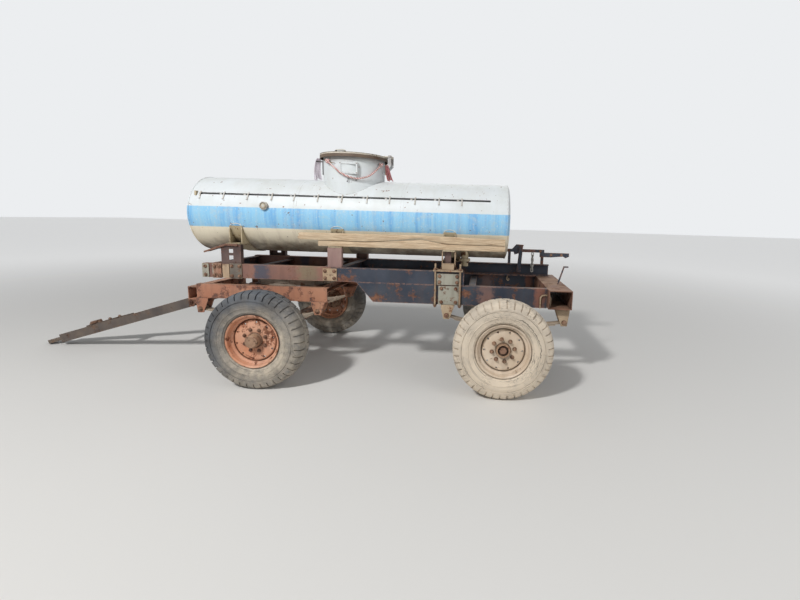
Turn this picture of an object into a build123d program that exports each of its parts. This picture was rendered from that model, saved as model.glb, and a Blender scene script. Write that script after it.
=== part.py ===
from build123d import *

import os
from math import asin, atan2, cos, hypot, pi, radians, sin

# Two-axle drawbar tank trailer, in millimetres. X runs backwards along the trailer, so the
# drawbar points to -X; the near side is -Y; Z is up from the ground.
# The origin is on the ground under the middle of the whole length.

os.makedirs("parts", exist_ok=True)

# Running gear
wheelbase = 2200
track = 1700
tyre_diameter = 890
tyre_width = 235
rim_flange_diameter = 480
bead_diameter = 408
hub_stub_diameter = 70
running_gap = 0.05
seat_gap = 0.3
wheel_sides = 32

# Drawbar
pivot_ahead = 975
pivot_height = 640
drawbar_reach = 2085
eye_outer_diameter = 130
eye_bore_diameter = 54
eye_thickness = 40
drawbar_spread = 640
drawbar_leg_depth = 95
drawbar_leg_width = 50
pivot_pin_diameter = 28

# Frame
frame_half_width = 460
rail_flange = 60
rail_wall = 8
upper_rail_height = 138
main_rail_height = 190
rail_joint_height = 922
dolly_beam_height = 140
dolly_beam_top = 850
rear_overhang = 655
tail_reach = 811

# Tank
tank_diameter = 766
tank_axis_height = 1545
tank_length = 3175
tank_ahead = 945
tank_skin = 10
head_dish = 38
hatch_ahead = 1590
hatch_neck_diameter = 620
hatch_neck_rise = 625
hatch_lid_diameter = 722

# Stations along the trailer
drawbar_radius = hypot(drawbar_reach, eye_thickness / 2)
drawbar_tilt = asin(pivot_height / drawbar_radius) - atan2(eye_thickness / 2, drawbar_reach)
tip_ahead = pivot_ahead + drawbar_reach * cos(drawbar_tilt) + eye_thickness / 2 * sin(drawbar_tilt)
overall_length = tip_ahead + wheelbase + tail_reach
front_axle_x = tip_ahead - overall_length / 2
rear_axle_x = front_axle_x + wheelbase
wheel_radius = tyre_diameter / 2
upper_rail_top = rail_joint_height + upper_rail_height
main_rail_bottom = rail_joint_height - main_rail_height
dolly_beam_bottom = dolly_beam_top - dolly_beam_height
rail_inner = frame_half_width - rail_wall
spring_y = frame_half_width - rail_flange / 2
hatch_neck_top = tank_axis_height + hatch_neck_rise


def finish(part, name):
    """Names a finished piece and writes it."""
    part.label = name
    export_step(part, f"parts/{name}.step")


def side_plane(y):
    """The upright plane along the trailer at a sideways place, seen from the near side."""
    return Plane(origin=(0, y, 0), x_dir=(1, 0, 0), z_dir=(0, -1, 0))


def cross_plane(x):
    """The upright plane across the trailer at a station, its own x along Y."""
    return Plane(origin=(x, 0, 0), x_dir=(0, 1, 0), z_dir=(1, 0, 0))


# Wheels: made round the origin with the outer side to -Y, then turned and set in their places.
# Name, distance behind the front axle, side, whether the hub still has its cap
wheel_table = [
    ("front_left", 0, -1, True),
    ("front_right", 0, 1, True),
    ("rear_left", wheelbase, -1, False),
    ("rear_right", wheelbase, 1, True),
]
bead_radius = bead_diameter / 2
flange_radius = rim_flange_diameter / 2
bead_half_width = 76
rim_wall = 8
tread_half_width = 70
shoulder_drop = 32
shoulder_tuck = 14
sidewall_radius = 318
sidewall_slope = (tyre_width / 2 - bead_half_width) / (sidewall_radius - bead_radius)
flare_end = bead_half_width + seat_gap + (flange_radius - bead_radius) * sidewall_slope
flange_lip = 9
lip_out = flare_end + flange_lip
disc_face = lip_out - 53
disc_thickness = 10
disc_rise = 14
disc_rise_foot = 188
disc_rise_top = 150
disc_hole_radius = 66
hub_sides = 16
hub_barrel_radius = 60
hub_flange_radius = 118
hub_flange_thickness = 16
hub_cap_radius = 62
hub_cap_end_radius = 48
hub_cap_out = tyre_width / 2
open_hub_out = disc_face + 26
open_hub_bore = 46
hub_inner_end = -125
stub_radius = hub_stub_diameter / 2
stub_end = disc_face + 8
disc_back = disc_face - disc_rise - disc_thickness
axle_line = Axis((0, 0, 0), (0, 1, 0))


def outlines(sections, sides):
    """Many-sided outlines across the axle, one for each distance outwards and radius."""
    return [side_plane(-out) * RegularPolygon(radius, sides) for out, radius in sections]


rim_outside = outlines(
    [
        (-lip_out, flange_radius),
        (-flare_end, flange_radius),
        (-bead_half_width - seat_gap, bead_radius),
        (bead_half_width + seat_gap, bead_radius),
        (flare_end, flange_radius),
        (lip_out, flange_radius),
    ],
    wheel_sides,
)
rim_inside = outlines(
    [
        (-lip_out - 1, flange_radius - rim_wall + 1),
        (-bead_half_width - 10, bead_radius - rim_wall),
        (bead_half_width + 10, bead_radius - rim_wall),
        (lip_out + 1, flange_radius - rim_wall + 1),
    ],
    wheel_sides,
)
disc_ring = outlines(
    [(disc_back, bead_radius - rim_wall / 2), (disc_back + disc_thickness, bead_radius - rim_wall / 2)],
    wheel_sides,
)
disc_dome = outlines([(disc_back + disc_thickness, disc_rise_foot), (disc_face, disc_rise_top)], wheel_sides)
disc_hollow = outlines(
    [(disc_back, disc_rise_foot - disc_thickness), (disc_face - disc_thickness, disc_rise_top - disc_thickness)],
    wheel_sides,
)

with BuildPart() as tyre:
    with BuildSketch(cross_plane(0)):
        with BuildLine():
            Polyline(
                (-bead_half_width, bead_radius + seat_gap),
                (bead_half_width, bead_radius + seat_gap),
                (tyre_width / 2, sidewall_radius),
                (tyre_width / 2 - shoulder_tuck, wheel_radius - shoulder_drop),
                (tread_half_width, wheel_radius),
                (-tread_half_width, wheel_radius),
                (-tyre_width / 2 + shoulder_tuck, wheel_radius - shoulder_drop),
                (-tyre_width / 2, sidewall_radius),
                close=True,
            )
        make_face()
    revolve(axis=axle_line)

with BuildPart() as rim:
    loft(rim_outside, ruled=True)
    loft(rim_inside, ruled=True, mode=Mode.SUBTRACT)
    loft(disc_ring, ruled=True)
    loft(disc_dome, ruled=True)
    loft(disc_hollow, ruled=True, mode=Mode.SUBTRACT)
    with BuildSketch(side_plane(-disc_back + 5)):
        RegularPolygon(disc_hole_radius, hub_sides)
    extrude(amount=disc_rise + disc_thickness + 10, mode=Mode.SUBTRACT)

hub_kinds = {}
for capped in (True, False):
    hub_outside = outlines(
        [
            (hub_inner_end, hub_barrel_radius),
            (disc_face, hub_barrel_radius),
            (hub_cap_out if capped else open_hub_out, hub_cap_end_radius if capped else hub_barrel_radius),
        ],
        hub_sides,
    )
    with BuildPart() as hub:
        loft(hub_outside, ruled=True)
        with BuildSketch(side_plane(-disc_face + disc_thickness + hub_flange_thickness + seat_gap)):
            RegularPolygon(hub_flange_radius, hub_sides)
        extrude(amount=hub_flange_thickness)
        with BuildSketch(side_plane(-hub_inner_end)):
            Circle(stub_radius + running_gap)
        extrude(amount=stub_end + 4 - hub_inner_end, mode=Mode.SUBTRACT)
        if not capped:
            with BuildSketch(side_plane(-disc_face + 12)):
                RegularPolygon(open_hub_bore, hub_sides)
            extrude(amount=open_hub_out, mode=Mode.SUBTRACT)
    hub_kinds[capped] = hub.part

for wheel_name, behind, side, capped in wheel_table:
    place = Pos(front_axle_x + behind, side * track / 2, wheel_radius) * Rot(0, 0, 0 if side < 0 else 180)
    finish(place * tyre.part, f"tyre_{wheel_name}")
    finish(place * rim.part, f"rim_{wheel_name}")
    finish(place * hub_kinds[capped], f"hub_{wheel_name}")


# Axles: a square beam with round stubs and a pad under each spring
axle_beam = 84
axle_beam_end = track / 2 + hub_inner_end - 6
spring_width = 76
spring_pad_thickness = 10
spring_pad_length = 120
spring_flat_half = spring_pad_length / 2 + 14
leaf_thickness = 9
leaf_count = 7
spring_seat_height = wheel_radius + axle_beam / 2 + spring_pad_thickness
main_leaf_height = spring_seat_height + (leaf_count - 0.5) * leaf_thickness
eye_radius = 24
eye_pin_radius = 13
pin_sides = 8
castle_nut_radius = 32
castle_nut_thickness = 15

for axle_name, axle_x in (("front_axle", front_axle_x), ("rear_axle", rear_axle_x)):
    with BuildPart() as axle:
        with BuildSketch(side_plane(0)):
            with Locations((axle_x, wheel_radius)):
                Rectangle(axle_beam, axle_beam)
        extrude(amount=axle_beam_end, both=True)
        with BuildSketch(side_plane(0)):
            with Locations((axle_x, wheel_radius)):
                Circle(stub_radius)
        extrude(amount=track / 2 + stub_end, both=True)
        with BuildSketch(Plane.XY.offset(spring_seat_height)):
            with Locations((axle_x, -spring_y), (axle_x, spring_y)):
                Rectangle(spring_pad_length, spring_width + 4)
        extrude(amount=-spring_pad_thickness)
        if axle_name == "rear_axle":
            with BuildSketch(side_plane(-track / 2 - stub_end)):
                with Locations((axle_x, wheel_radius)):
                    RegularPolygon(castle_nut_radius, 6)
            extrude(amount=castle_nut_thickness)
    finish(axle.part, axle_name)


# Leaf springs: name, axle station, front half length, rear half length, front and rear eye heights
spring_table = [
    ("front_springs", front_axle_x, 798, 381, 600, 618),
    ("rear_springs", rear_axle_x, 540, 604, 628, 600),
]


def leaf_share(leaf):
    """How much of the main leaf's half length a leaf reaches."""
    return 1 - max(leaf - 1, 0) / (leaf_count - 0.4)


def spring_point(spring_row, way, share, layer):
    """A point on a leaf's underside: flat over the axle, each half then bent once at its middle."""
    half, eye_height = (spring_row[2], spring_row[4]) if way < 0 else (spring_row[3], spring_row[5])
    span = half - spring_flat_half
    rise = eye_height - main_leaf_height
    bend = (span**2 + rise**2) / (2 * rise)
    full_turn = asin(span / bend)
    low_share = 0 if share < 0.5 else 0.5
    ends = []
    for station in (low_share, low_share + 0.5):
        reach = bend + (layer - 0.5) * leaf_thickness
        ends.append((reach * sin(full_turn * station), bend - reach * cos(full_turn * station)))
    part_way = (share - low_share) * 2
    along = ends[0][0] + (ends[1][0] - ends[0][0]) * part_way
    height = ends[0][1] + (ends[1][1] - ends[0][1]) * part_way
    return (spring_row[1] + way * (spring_flat_half + along), main_leaf_height + height)


for spring_row in spring_table:
    outline = [spring_point(spring_row, 1, 0, 0), spring_point(spring_row, -1, 0, 0)]
    flat_under = [spring_point(spring_row, way, 0, leaf_count) for way in (-1, 1)]
    for way in (-1, 1):
        half_outline = [(0.5, 0), (1, 0), (1, 2)]
        for leaf in range(2, leaf_count):
            if leaf_share(leaf - 1) > 0.5 > leaf_share(leaf):
                half_outline.append((0.5, leaf))
            half_outline += [(leaf_share(leaf), leaf), (leaf_share(leaf), leaf + 1)]
        points = [spring_point(spring_row, way, share, layer) for share, layer in half_outline]
        outline += points + flat_under if way < 0 else points[::-1]
    with BuildPart() as spring:
        with BuildSketch(side_plane(-spring_y)):
            with BuildLine():
                Polyline(*outline, close=True)
            make_face()
        extrude(amount=spring_width / 2, both=True)
        eyes = [
            (spring_row[1] - spring_row[2], spring_row[4]),
            (spring_row[1] + spring_row[3], spring_row[5]),
        ]
        with BuildSketch(side_plane(-spring_y)):
            with Locations(*eyes):
                RegularPolygon(eye_radius, 12)
        extrude(amount=spring_width / 2, both=True)
        with BuildSketch(side_plane(-spring_y)):
            with Locations(*eyes):
                RegularPolygon(eye_pin_radius + 2 * seat_gap, pin_sides)
        extrude(amount=spring_width / 2, both=True, mode=Mode.SUBTRACT)
        mirror(about=Plane.XZ)
    finish(spring.part, spring_row[0])


# Spring clamps: a plate over the leaves, one under the axle and four bolts between them
clamp_bolt_radius = 8
clamp_bolt_along = 54
clamp_bolt_across = spring_width / 2 + clamp_bolt_radius + 2
clamp_plate_thickness = 12
clamp_top = main_leaf_height + leaf_thickness / 2 + seat_gap
clamp_bottom = wheel_radius - axle_beam / 2 - seat_gap

for clamp_name, clamp_x in (("front_spring_clamps", front_axle_x), ("rear_spring_clamps", rear_axle_x)):
    with BuildPart() as clamp:
        with BuildSketch(Plane.XY.offset(clamp_top), Plane.XY.offset(clamp_bottom - clamp_plate_thickness)):
            with Locations((clamp_x, -spring_y)):
                Rectangle(2 * clamp_bolt_along + 36, 2 * clamp_bolt_across + 30)
        extrude(amount=clamp_plate_thickness)
        with BuildSketch(Plane.XY.offset(clamp_bottom)):
            with Locations((clamp_x, -spring_y)):
                with GridLocations(2 * clamp_bolt_along, 2 * clamp_bolt_across, 2, 2):
                    RegularPolygon(clamp_bolt_radius, pin_sides)
        extrude(amount=clamp_top - clamp_bottom)
        mirror(about=Plane.XZ)
    finish(clamp.part, clamp_name)


# Spring hangers: two cheeks either side of each eye, a top plate and the pin
hanger_cheek = 9
hanger_gap = spring_width / 2 + 2
hanger_rim = 22
hanger_foot = 58
hanger_below_eye = 36
# Name, middle, spring row, then for each end: top height, top edges before and behind the eye
rear_beam_bottom = 742
hanger_table = [
    ("dolly_hangers", front_axle_x, spring_table[0], (dolly_beam_bottom, 42, 78), (dolly_beam_bottom, 58, 72)),
    ("rear_hangers", rear_axle_x, spring_table[1], (main_rail_bottom, 57, 71), (rear_beam_bottom, 86, 49)),
]

for hanger_name, middle_x, spring_row, front_end, rear_end in hanger_table:
    front_half, rear_half, front_eye, rear_eye = spring_row[2:]
    front_place = (middle_x - front_half, front_eye) + front_end
    rear_place = (middle_x + rear_half, rear_eye) + rear_end
    with BuildPart() as hangers:
        for x, eye_height, top, before, behind in (front_place, rear_place):
            foot = eye_height - hanger_below_eye
            with BuildSketch(side_plane(-spring_y + hanger_gap), side_plane(-spring_y - hanger_gap - hanger_cheek)):
                with BuildLine():
                    Polyline(
                        (x - before, top),
                        (x + behind, top),
                        (x + behind, top - hanger_rim),
                        (x + hanger_foot / 2, foot),
                        (x - hanger_foot / 2, foot),
                        (x - before, top - hanger_rim),
                        close=True,
                    )
                make_face()
            extrude(amount=-hanger_cheek)
            with BuildSketch(Plane.XY.offset(top)):
                with Locations((x + (behind - before) / 2, -spring_y)):
                    Rectangle(before + behind, 2 * (hanger_gap + hanger_cheek))
            extrude(amount=-hanger_cheek)
            with BuildSketch(side_plane(-spring_y)):
                with Locations((x, eye_height)):
                    RegularPolygon(eye_pin_radius, pin_sides)
            extrude(amount=hanger_gap + hanger_cheek + 10, both=True)
        mirror(about=Plane.XZ)
    finish(hangers.part, hanger_name)


# Turntable: two rings that turn on each other
ring_outer_radius = 430
ring_inner_radius = 352
ring_split_height = 885
ring_step = 12
ring_sides = 40

with BuildPart() as lower_ring:
    with BuildSketch(Plane.XY.offset(dolly_beam_top)):
        with Locations((front_axle_x, 0)):
            RegularPolygon(ring_outer_radius - ring_step, ring_sides)
            Circle(ring_inner_radius, mode=Mode.SUBTRACT)
    extrude(amount=ring_split_height - dolly_beam_top)
finish(lower_ring.part, "turntable_lower_ring")

with BuildPart() as upper_ring:
    with BuildSketch(Plane.XY.offset(rail_joint_height)):
        with Locations((front_axle_x, 0)):
            RegularPolygon(ring_outer_radius, ring_sides)
            Circle(ring_inner_radius + ring_step, mode=Mode.SUBTRACT)
    extrude(amount=-(rail_joint_height - ring_split_height - seat_gap))
finish(upper_ring.part, "turntable_upper_ring")


# Channel rails: the web faces outwards and the flanges point inwards. Name, front and rear end,
# bottom, height, how far the lower front corner is drawn back, side (near -1, far 1)
upper_rail_ahead = 764
near_rail_back = 1820
far_rail_back = 2784
main_rail_front = 765
main_rail_slope = 167
rear_beam_width = 222
beam_x = rear_axle_x + rear_overhang - rear_beam_width
rail_front = front_axle_x - upper_rail_ahead
main_front = front_axle_x + main_rail_front
dolly_front = 840
dolly_back = 475
dolly_ends = (front_axle_x - dolly_front, front_axle_x + dolly_back)

rail_table = [
    ("upper_rails", rail_front, front_axle_x + near_rail_back, rail_joint_height, upper_rail_height, 0, -1),
    ("upper_rails", rail_front, front_axle_x + far_rail_back, rail_joint_height, upper_rail_height, 0, 1),
    ("main_rails", main_front, beam_x - seat_gap, main_rail_bottom, main_rail_height, main_rail_slope, -1),
    ("main_rails", main_front, beam_x - seat_gap, main_rail_bottom, main_rail_height, main_rail_slope, 1),
    ("dolly_beams", *dolly_ends, dolly_beam_bottom, dolly_beam_height, 0, -1),
    ("dolly_beams", *dolly_ends, dolly_beam_bottom, dolly_beam_height, 0, 1),
]
dolly_nose_width = 90
dolly_nose_height = 130
dolly_nose_bottom = 690
dolly_cross_table = [(-340, 70), (340, 70)]
dolly_cross_height = 90
dolly_cross_middle = dolly_beam_top - rail_wall - dolly_cross_height / 2
dolly_nose_middle = (front_axle_x - dolly_front - dolly_nose_width / 2, dolly_nose_bottom + dolly_nose_height / 2)

for rail_name in ("upper_rails", "main_rails", "dolly_beams"):
    with BuildPart() as rail:
        for row_name, x_front, x_rear, bottom, height, slope, side in rail_table:
            if row_name != rail_name:
                continue
            with BuildSketch(side_plane(side * frame_half_width)):
                with BuildLine():
                    Polyline(
                        (x_front, bottom + height),
                        (x_rear, bottom + height),
                        (x_rear, bottom),
                        (x_front + slope, bottom),
                        close=True,
                    )
                make_face()
            extrude(amount=side * rail_flange)
            with BuildSketch(side_plane(side * rail_inner)):
                with Locations(((x_front + x_rear) / 2, bottom + height / 2)):
                    Rectangle(x_rear - x_front + 10, height - 2 * rail_wall)
            extrude(amount=side * rail_flange, mode=Mode.SUBTRACT)
        if rail_name == "dolly_beams":
            for station, width in dolly_cross_table:
                with BuildSketch(side_plane(0)):
                    with Locations((front_axle_x + station, dolly_cross_middle)):
                        Rectangle(width, dolly_cross_height)
                    with Locations((front_axle_x + station + rail_wall, dolly_cross_middle)):
                        Rectangle(width, dolly_cross_height - 2 * rail_wall, mode=Mode.SUBTRACT)
                extrude(amount=rail_inner, both=True)
            with BuildSketch(side_plane(0)):
                with Locations(dolly_nose_middle):
                    Rectangle(dolly_nose_width, dolly_nose_height)
                with Locations((dolly_nose_middle[0] + rail_wall, dolly_nose_middle[1])):
                    Rectangle(dolly_nose_width, dolly_nose_height - 2 * rail_wall, mode=Mode.SUBTRACT)
            extrude(amount=frame_half_width, both=True)
    finish(rail.part, rail_name)


# Cross-members: station from the front axle, width along, bottom, height
cross_member_table = [
    (-730, 60, 930, 120),
    (-340, 70, rail_joint_height + rail_wall, 90),
    (340, 70, rail_joint_height + rail_wall, 90),
    (570, 70, 930, 120),
    (1640, 70, 930, 120),
    (1120, 70, 760, 130),
    (1900, 70, 760, 130),
]

with BuildPart() as cross_members:
    for station, width, bottom, height in cross_member_table:
        with BuildSketch(side_plane(0)):
            with Locations((front_axle_x + station, bottom + height / 2)):
                Rectangle(width, height)
            with Locations((front_axle_x + station + rail_wall, bottom + height / 2)):
                Rectangle(width, height - 2 * rail_wall, mode=Mode.SUBTRACT)
        extrude(amount=rail_inner - seat_gap, both=True)
finish(cross_members.part, "cross_members")


# Rear beam: an open-ended box across the tail
rear_beam_half = 550
rear_beam_wall = 8

with BuildPart() as rear_beam:
    beam_height = rail_joint_height - rear_beam_bottom
    with BuildSketch(side_plane(0)):
        with Locations((beam_x + rear_beam_width / 2, rear_beam_bottom + beam_height / 2)):
            Rectangle(rear_beam_width, beam_height)
            Rectangle(rear_beam_width - 2 * rear_beam_wall, beam_height - 2 * rear_beam_wall, mode=Mode.SUBTRACT)
    extrude(amount=rear_beam_half, both=True)
finish(rear_beam.part, "rear_beam")


# Drawbar brackets under the dolly's nose
pivot_x = front_axle_x - pivot_ahead
bracket_cheek = 12
bracket_gap = drawbar_leg_width / 2 + 14
bracket_y = drawbar_spread / 2
bracket_root = 60
nose_front = front_axle_x - dolly_front - dolly_nose_width

with BuildPart() as brackets:
    for cheek_y in (-bracket_y + bracket_gap, -bracket_y - bracket_gap - bracket_cheek):
        with BuildSketch(side_plane(cheek_y)):
            with BuildLine():
                Polyline(
                    (nose_front, dolly_nose_bottom + bracket_root),
                    (pivot_x - 28, pivot_height),
                    (pivot_x - 20, pivot_height - 48),
                    (pivot_x + 20, pivot_height - 48),
                    (nose_front + 40, dolly_nose_bottom),
                    (nose_front, dolly_nose_bottom),
                    close=True,
                )
            make_face()
        extrude(amount=-bracket_cheek)
    with BuildSketch(side_plane(-bracket_y)):
        with Locations((pivot_x, pivot_height)):
            Circle(pivot_pin_diameter / 2)
    extrude(amount=bracket_gap + bracket_cheek + 12, both=True)
    mirror(about=Plane.XZ)
finish(brackets.part, "drawbar_brackets")


# Drawbar: two channel legs that meet at the eye, with ties, in its own tilted plane
drawbar_plane = Plane(
    origin=(pivot_x, 0, pivot_height),
    x_dir=(-cos(drawbar_tilt), 0, -sin(drawbar_tilt)),
    z_dir=(-sin(drawbar_tilt), 0, cos(drawbar_tilt)),
)
leg_heel = 26
leg_wall = 8
leg_end = drawbar_reach - 190
leg_end_half_gap = 8
tie_table = [(620, 60), (1180, 50)]
tie_overlap = 30
eye_centre = drawbar_reach - eye_outer_diameter / 2
strap_along = 1360
strap_length = 420
strap_width = 70
strap_thickness = 14
strap_block = 60


def leg_edge(along):
    """How far the inner side of a leg is from the middle line at a place along the drawbar."""
    start = drawbar_spread / 2 - drawbar_leg_width / 2
    return start + (leg_end_half_gap - start) * along / leg_end


with BuildPart() as drawbar_legs:
    for way in (-1, 1):
        with BuildSketch(drawbar_plane.offset(-drawbar_leg_depth / 2)):
            with BuildLine():
                Polyline(
                    (-leg_heel, way * leg_edge(0)),
                    (0, way * leg_edge(0)),
                    (leg_end, way * leg_edge(leg_end)),
                    (leg_end, way * (leg_edge(leg_end) + drawbar_leg_width)),
                    (0, way * (leg_edge(0) + drawbar_leg_width)),
                    (-leg_heel, way * (leg_edge(0) + drawbar_leg_width)),
                    close=True,
                )
            make_face()
        extrude(amount=drawbar_leg_depth)
        with BuildSketch(drawbar_plane.offset(-drawbar_leg_depth / 2 + leg_wall)):
            with BuildLine():
                Polyline(
                    (60, way * (leg_edge(60) - 30)),
                    (leg_end - 60, way * (leg_edge(leg_end - 60) - 30)),
                    (leg_end - 60, way * (leg_edge(leg_end - 60) + drawbar_leg_width - leg_wall)),
                    (60, way * (leg_edge(60) + drawbar_leg_width - leg_wall)),
                    close=True,
                )
            make_face()
        extrude(amount=drawbar_leg_depth - 2 * leg_wall, mode=Mode.SUBTRACT)
    with BuildSketch(side_plane(0)):
        with Locations((pivot_x, pivot_height)):
            Circle(pivot_pin_diameter / 2 + running_gap)
    extrude(amount=drawbar_spread, both=True, mode=Mode.SUBTRACT)
    for along, width in tie_table:
        with BuildSketch(drawbar_plane.offset(-drawbar_leg_depth / 2 + leg_wall)):
            with BuildLine():
                Polyline(
                    (along - width / 2, -leg_edge(along) - tie_overlap),
                    (along + width / 2, -leg_edge(along) - tie_overlap + width * 0.15),
                    (along + width / 2, leg_edge(along) + tie_overlap - width * 0.15),
                    (along - width / 2, leg_edge(along) + tie_overlap),
                    close=True,
                )
            make_face()
        extrude(amount=leg_wall)
    with BuildSketch(drawbar_plane.offset(drawbar_leg_depth / 2)):
        with Locations((strap_along, 0)):
            Rectangle(strap_length, strap_width)
        with Locations((strap_along - strap_length / 2 + strap_block / 2, 0)):
            Rectangle(strap_block, 2 * leg_edge(strap_along - strap_length / 2) + drawbar_leg_width)
    extrude(amount=strap_thickness)
    with BuildSketch(drawbar_plane.offset(-eye_thickness / 2)):
        with BuildLine():
            Polyline(
                (leg_end - 60, 2 * leg_end_half_gap + 4),
                (leg_end, 2 * leg_end_half_gap + 4),
                (eye_centre, eye_outer_diameter / 2 - 8),
                (eye_centre, -eye_outer_diameter / 2 + 8),
                (leg_end, -2 * leg_end_half_gap - 4),
                (leg_end - 60, -2 * leg_end_half_gap - 4),
                close=True,
            )
        make_face()
        with Locations((eye_centre, 0)):
            Circle(eye_outer_diameter / 2)
            Circle(eye_bore_diameter / 2, mode=Mode.SUBTRACT)
    extrude(amount=eye_thickness)
finish(drawbar_legs.part, "drawbar_legs")


# Tank: the inner shell with its dished heads, the outer skin, the hatch
tank_front = front_axle_x - tank_ahead
tank_rear = tank_front + tank_length
tank_radius = tank_diameter / 2
shell_radius = tank_radius - tank_skin - seat_gap
tank_axis = Axis((0, 0, tank_axis_height), (1, 0, 0))
hatch_x = tank_front + hatch_ahead - 36
manhole_radius = 240
manhole_sides = 24
manhole_floor = tank_axis_height + 105
neck_wall = 8
slit_angle = 31.5
slit_height = 20
slit_inset_front = 95
slit_inset_rear = 175

with BuildPart() as tank_shell:
    with BuildSketch(side_plane(0)):
        with BuildLine():
            Polyline(
                (tank_front - head_dish, tank_axis_height),
                (tank_rear + head_dish, tank_axis_height),
                (tank_rear + head_dish * 0.96, tank_axis_height + shell_radius * 0.35),
                (tank_rear + head_dish * 0.62, tank_axis_height + shell_radius * 0.74),
                (tank_rear + 2, tank_axis_height + shell_radius),
                (tank_front - 2, tank_axis_height + shell_radius),
                (tank_front - head_dish * 0.62, tank_axis_height + shell_radius * 0.74),
                (tank_front - head_dish * 0.96, tank_axis_height + shell_radius * 0.35),
                close=True,
            )
        make_face()
    revolve(axis=tank_axis)
    with BuildSketch(Plane.XY.offset(manhole_floor)):
        with Locations((hatch_x, 0)):
            RegularPolygon(manhole_radius, manhole_sides)
    extrude(amount=tank_radius, mode=Mode.SUBTRACT)
finish(tank_shell.part, "tank_shell")

with BuildPart() as tank_skin_part:
    with BuildSketch(cross_plane(tank_front)):
        with Locations((0, tank_axis_height)):
            Circle(tank_radius)
            Circle(tank_radius - tank_skin, mode=Mode.SUBTRACT)
    extrude(amount=tank_length)
    with BuildSketch(cross_plane(tank_front + slit_inset_front)):
        with Locations((0, tank_axis_height + tank_radius * sin(radians(slit_angle)))):
            Rectangle(tank_diameter, slit_height)
    extrude(amount=tank_length - slit_inset_front - slit_inset_rear, mode=Mode.SUBTRACT)
    with BuildSketch(Plane.XY.offset(manhole_floor)):
        with Locations((hatch_x, 0)):
            RegularPolygon(manhole_radius, manhole_sides)
    extrude(amount=tank_radius, mode=Mode.SUBTRACT)
finish(tank_skin_part.part, "tank_skin")

clip_pitch = 237
clip_count = 12
clip_width = 18
clip_length = 64
clip_drop = 12
clip_thickness = 5
clip_first = 122
clip_reach = tank_radius + seat_gap
clip_plane = Plane(
    origin=(0, -clip_reach * cos(radians(slit_angle)), tank_axis_height + clip_reach * sin(radians(slit_angle))),
    x_dir=(1, 0, 0),
    z_dir=(0, -cos(radians(slit_angle)), sin(radians(slit_angle))),
)

with BuildPart() as skin_clips:
    with BuildSketch(clip_plane):
        for n in range(clip_count):
            with Locations((tank_front + clip_first + n * clip_pitch, -clip_drop)):
                Rectangle(clip_width, clip_length)
    extrude(amount=clip_thickness)
    mirror(about=Plane.XZ)
finish(skin_clips.part, "skin_clips")

neck_radius = hatch_neck_diameter / 2
hinge_offset = 386
hinge_height = hatch_neck_top + 16
hinge_pin_radius = 9
hinge_ear = 10
hinge_half_width = 60
lid_radius = hatch_lid_diameter / 2
lid_skirt = 42
lid_wall = 6
lid_rest = hatch_neck_top + seat_gap
lid_top = lid_rest + lid_wall
lid_crown = 16
lid_knuckle = 15
# The raised frame on the neck's near side
neck_frame_x = hatch_x + 41
neck_frame_width = 180
neck_frame_height = 110
neck_frame_bottom = hatch_neck_top - 196
neck_frame_bar = 16
neck_frame_reach = neck_radius + 6

with BuildPart() as hatch_neck:
    with BuildSketch(Plane.XY.offset(tank_axis_height)):
        with Locations((hatch_x, 0)):
            Circle(neck_radius)
    extrude(amount=hatch_neck_top - tank_axis_height)
    with BuildSketch(side_plane(-neck_frame_reach)):
        with Locations((neck_frame_x, neck_frame_bottom + neck_frame_height / 2)):
            Rectangle(neck_frame_width, neck_frame_height)
            Rectangle(
                neck_frame_width - 2 * neck_frame_bar,
                neck_frame_height - 2 * neck_frame_bar,
                mode=Mode.SUBTRACT,
            )
    extrude(amount=-50)
    with BuildSketch(cross_plane(tank_front)):
        with Locations((0, tank_axis_height)):
            Circle(tank_radius + seat_gap)
    extrude(amount=tank_length, mode=Mode.SUBTRACT)
    with BuildSketch(Plane.XY.offset(tank_axis_height)):
        with Locations((hatch_x, 0)):
            Circle(neck_radius - neck_wall)
    extrude(amount=hatch_neck_rise, mode=Mode.SUBTRACT)
    ear_planes = [side_plane(y) for y in (-hinge_half_width, hinge_half_width - hinge_ear)]
    with BuildSketch(*ear_planes):
        with BuildLine():
            Polyline(
                (hatch_x + neck_radius - 10, hatch_neck_top - 170),
                (hatch_x + hinge_offset - 14, hatch_neck_top - 110),
                (hatch_x + hinge_offset + 14, hatch_neck_top - 80),
                (hatch_x + hinge_offset + 14, hinge_height + 12),
                (hatch_x + hinge_offset - 14, hinge_height + 12),
                (hatch_x + hinge_offset - 14, hatch_neck_top - 60),
                (hatch_x + neck_radius - 10, hatch_neck_top - 90),
                close=True,
            )
        make_face()
    extrude(amount=-hinge_ear)
    with BuildSketch(side_plane(0)):
        with Locations((hatch_x + hinge_offset, hinge_height)):
            Circle(hinge_pin_radius)
    extrude(amount=hinge_half_width + 8, both=True)
finish(hatch_neck.part, "hatch_neck")

handle_bar = 14
handle_span = 110
handle_width = 60
handle_rise = 30
handle_x = hatch_x - 130
handle_y = -60
lid_crown_top = lid_top + 2 + lid_crown

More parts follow.
